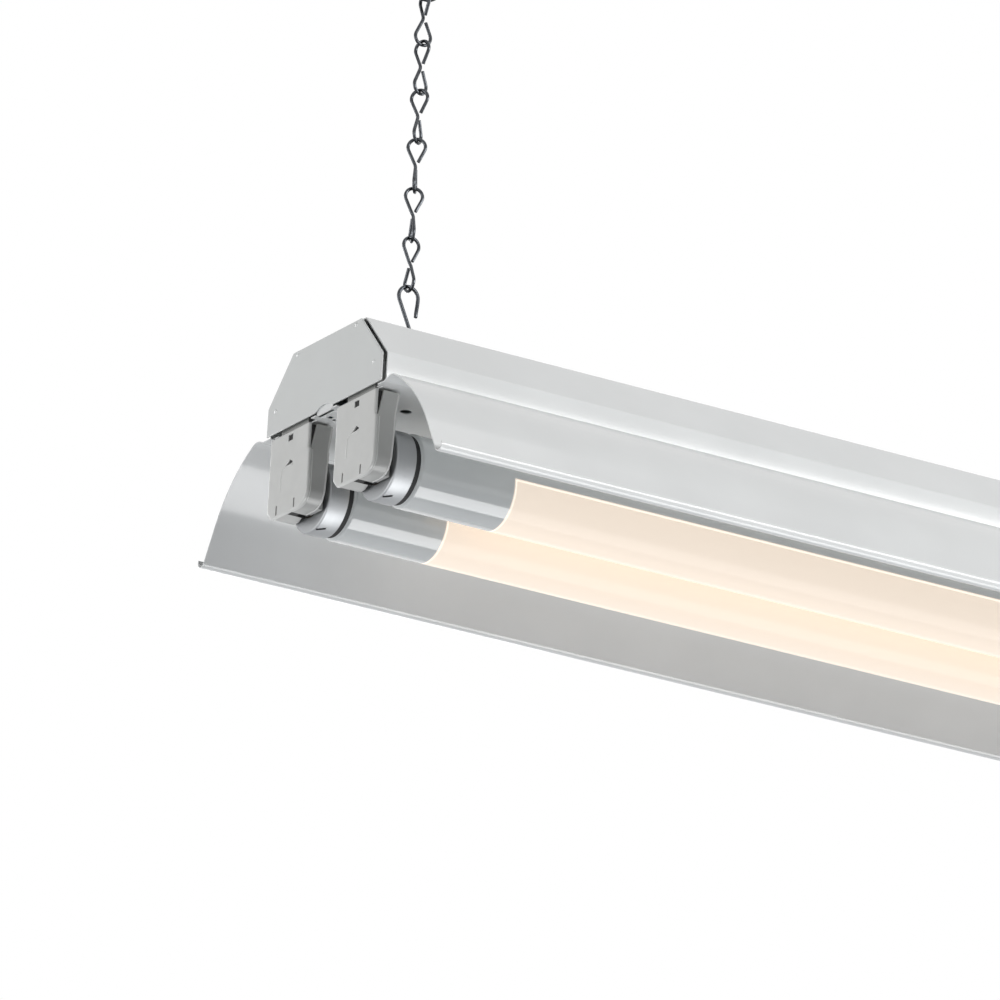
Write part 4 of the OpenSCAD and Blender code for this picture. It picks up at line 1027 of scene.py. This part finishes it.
# The strip of painted shade: unlit outside a width and above a level
outside = add(tree, "ShaderNodeMapRange", {
    0: from_centre_line, 1: strip_y - glow_edge / 2, 2: strip_y + glow_edge / 2})
below = add(tree, "ShaderNodeMapRange", {
    0: up, 1: strip_z + glow_edge / 2, 2: strip_z - glow_edge / 2})
lit_round = add(tree, "ShaderNodeMix", {0: outside, 2: 1.0, 3: below})
lit = add(tree, "ShaderNodeMath", {0: lit_along, 1: lit_round}, operation="MULTIPLY")
smoke = add(tree, "ShaderNodeTexNoise", {"Vector": place, "Scale": 1 / cloud_w, "Detail": 2})
unlit = add(tree, "ShaderNodeMix", {
    0: smoke, 6: (*linear("#c7cbcc"), 1), 7: (*linear("#d1d5d5"), 1)}, data_type="RGBA")
coat = add(tree, "ShaderNodeMix", {
    0: lit, 6: unlit.outputs[2], 7: (*linear("#f3e6d6"), 1)}, data_type="RGBA")
feed(shader, "Base Color", coat, 2)
shader.inputs["Emission Color"].default_value = (*linear("#ffeddc"), 1)
glow = add(tree, "ShaderNodeMath", {0: lit, 1: glow_strength}, operation="MULTIPLY")
# A painted highlight: a bright line of glow along the glow's ends and along the shade strip's edge
end_rim = add(tree, "ShaderNodeMath", {
    0: from_middle, 1: glow_end, 2: 0.8 * glow_edge}, operation="COMPARE")
strip_rim = add(tree, "ShaderNodeMath", {
    0: up, 1: strip_z - glow_edge / 2, 2: glow_edge / 2}, operation="COMPARE")
outer_rim = add(tree, "ShaderNodeMath", {0: strip_rim, 1: outside}, operation="MULTIPLY")
either_rim = add(tree, "ShaderNodeMath", {0: end_rim, 1: outer_rim}, operation="MAXIMUM")
lit_rim = add(tree, "ShaderNodeMath", {0: either_rim, 1: lit}, operation="MULTIPLY")
rim_glow = add(tree, "ShaderNodeMath", {
    0: lit_rim, 1: rim_strength, 2: glow}, operation="MULTIPLY_ADD")
feed(shader, "Emission Strength", rim_glow)
gloss = add(tree, "ShaderNodeMapRange", {0: lit, 3: 0.8, 4: 0.03})
feed(shader, "Coat Weight", gloss)
sheen = add(tree, "ShaderNodeMapRange", {0: lit, 3: 0.5, 4: 0.1})
feed(shader, "Specular IOR Level", sheen)

# Drawn aluminium: pale satin metal with faint rings from the press.
cap_metal, tree, shader, place = finish("drawn aluminium", "#a0a2a4", 1, 0.5)
ring_w, ring_l = 0.3 * mm, 8 * mm
rings = add(tree, "ShaderNodeMapping", {
    "Vector": place, "Scale": (1 / ring_w, 1 / ring_l, 1 / ring_l)})
ring_noise = add(tree, "ShaderNodeTexNoise", {"Vector": rings, "Scale": 1, "Detail": 3})
satin = add(tree, "ShaderNodeMapRange", {0: ring_noise, 1: 0.3, 2: 0.7, 3: 0.46, 4: 0.54})
feed(shader, "Roughness", satin)
ring_bump = add(tree, "ShaderNodeBump", {
    "Height": ring_noise, "Strength": 0.15, "Distance": 0.02 * mm})
feed(shader, "Normal", ring_bump)

# Basing cement: dull and sandy, and nearly black as painted shade for the groove between cap and glass.
cement = moulded("basing cement in painted shade", "#1b1b1c", 0.8, 0.05 * mm)


crimp_x, crimp_l, crimp_w, crimp_depth = 3 * mm, 5 * mm, 1.5 * mm, 0.8 * mm
crimp_slant = math.radians(-30)


def crimp(degrees):
    """A short slanting slit in the cap, at an angle about its axis from straight down."""
    slit = box_between((-crimp_l / 2, -crimp_w / 2, -cap_r - past),
                       (crimp_l / 2, crimp_w / 2, crimp_depth - cap_r))
    points, faces = turned_about_z(slit, crimp_slant)
    turn = np.array(Matrix.Rotation(math.radians(degrees), 3, "X"))
    return points @ turn.T + [cap_x0 + crimp_x, 0, 0], faces


def rounded(radius, x, size_r, size_x, angles):
    """Profile points of a rounded edge from an end's face to its side: a radius and an x
    that close in on the side as the sine and the cosine of the angles."""
    return [(radius - size_r * (1 - math.sin(a)), x + size_x * (1 - math.cos(a))) for a in angles]


crimps = [crimp(angle) for angle in (-19, 19, 161, 199)]
disc_r, cap_round, cap_lip = 10.5 * mm, 1.3 * mm, 0.5 * mm
neck_r, bore_of_cap = cap_r - 1 * mm, cap_r - 0.7 * mm
tube_x, tube_bevel = cap_x0 + 3 * mm, 3 * mm
tube_end = [(0, tube_x), (neck_r - tube_bevel, tube_x), (neck_r, tube_x + tube_bevel),
            (neck_r, shoulder_x - 0.6 * mm)]
tube_end += rounded(tube_r, shoulder_x, 1.4 * mm, 1.6 * mm, np.linspace(0.35, math.pi / 2, 7))
tube = turned(tube_end + [(r, 2 * half_length - x) for r, x in tube_end[::-1]], 96, True)
cup = [(disc_r, cap_x0 + cap_lip), (disc_r, cap_x0)]
cup += rounded(cap_r, cap_x0, cap_round, cap_round, np.linspace(0, math.pi / 2, 6))
cup += [(cap_r, cap_x1 - cap_lip), (cap_r - 0.15 * mm, cap_x1 - 0.15 * mm),
        (cap_r - cap_lip, cap_x1), (bore_of_cap, cap_x1), (bore_of_cap, cap_x0 + cap_lip),
        (disc_r, cap_x0 + cap_lip)]
seal_r, seal_x = (neck_r - 1 * mm, cap_r - 0.9 * mm), (cap_x1 - 2 * mm, shoulder_x - 0.1 * mm)
seal = [(seal_r[0], seal_x[0]), (seal_r[1], seal_x[0]), (seal_r[1], seal_x[1]),
        (seal_r[0], seal_x[1]), (seal_r[0], seal_x[0])]
cap_shell, shaded_cement_ring = turned(cup, 96, True), turned(seal, 72, True)
for front in (True, False):
    name = "front" if front else "rear"
    lamp_body = f"{name}_lamp"
    tube_place = (-half_length, -lamp_y if front else lamp_y, edge_z + lamp_z)
    piece(f"{name}_fluorescent_tube", [moved(tube, tube_place)], lamp_glass, lamp_body,
          [f"{name}_lamp_glass"])
    for left in (True, False):
        side = "left" if left else "right"
        cap = piece(f"{name}_lamp_{side}_crimped_cap", [at_holder(cap_shell, left, front)],
                    cap_metal, lamp_body, [f"{name}_lamp_{side}_cap"])
        carve(cap, [at_holder(part, left, front) for part in crimps])
        piece(f"{name}_lamp_{side}_cement_ring", [at_holder(shaded_cement_ring, left, front)],
              cement, lamp_body)

# Kept pieces
# The ballast, its wiring, the rotors and contacts, the lamps' pins and the small fastenings
# keep the shape of their CAD nodes, and each takes the finish of the real one.


def dress(material, nodes):
    """Gives kept pieces their finish."""
    for name in nodes:
        for material_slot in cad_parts[name].material_slots:
            material_slot.material = material


def metal(name, colour, roughness, patch):
    """A plain metal with soft cloudy variation in its shine."""
    material, tree, shader, place = finish(name, colour, 1, roughness)
    clouds = add(tree, "ShaderNodeTexNoise", {"Vector": place, "Scale": 1 / patch, "Detail": 4})
    shine = add(tree, "ShaderNodeMapRange", {
        0: clouds, 1: 0.3, 2: 0.7, 3: roughness - 0.08, 4: roughness + 0.12})
    feed(shader, "Roughness", shine)
    return material


# The metals are bright, with a soft cloudy shine. The fibre, the board, the nylon and the
# insulation are dense, with a low shine, and the ballast has the housing's enamel in black.
brass = metal("plain brass", "#c9ae6b", 0.3, 2 * mm)
nickel = metal("nickel wire and glass stem", "#a9a8a4", 0.35, 1 * mm)
screw_zinc = metal("zinc plated screw steel", "#a8abad", 0.3, 1.5 * mm)
fibre = moulded("pressed phenolic fibre", "#3a322b", 0.6, 0.05 * mm)
black_enamel = enamel("baked black enamel", "#2b2b2d", "#262628")
circuit_board = moulded("glass epoxy board", "#5f7a3c", 0.4, 0.02 * mm)
blue_lead = moulded("blue wire insulation", "#3f6fb0", 0.35, 0.01 * mm)
black_lead = moulded("black wire insulation", "#1f1f20", 0.35, 0.01 * mm)
orange_cone = moulded("moulded orange nylon", "#d8862b", 0.35, 0.02 * mm)
green_screw = metal("green passivated steel", "#3d8a4a", 0.35, 1.5 * mm)
black_nylon = moulded("moulded black nylon", "#26282a", 0.45, 0.03 * mm)

corners_of = [(s, f) for s in ("left", "right") for f in ("front", "rear")]
dress(brass, [f"{s}_{f}_contacts" for s, f in corners_of] + [f"{f}_lamp_{s}_pins" for s, f in corners_of])
dress(black_nylon, [f"{s}_{f}_rotor" for s, f in corners_of])
dress(fibre, [f"{f}_lamp_{s}_insulator" for s, f in corners_of])
dress(nickel, [f"{f}_lamp_{s}_cathode" for s, f in corners_of])
dress(screw_zinc, ["reflector_screws", "ballast_bolts", "ballast_nuts"])
dress(black_enamel, ["ballast_case", "ballast_base"])
dress(circuit_board, ["ballast_board"])
dress(blue_lead, ["left_lamp_leads", "right_lamp_leads"])
dress(black_lead, ["supply_leads"])
dress(orange_cone, ["wire_connectors"])
dress(green_screw, ["ground_screw"])
dress(black_nylon, ["inlet_bushing"])
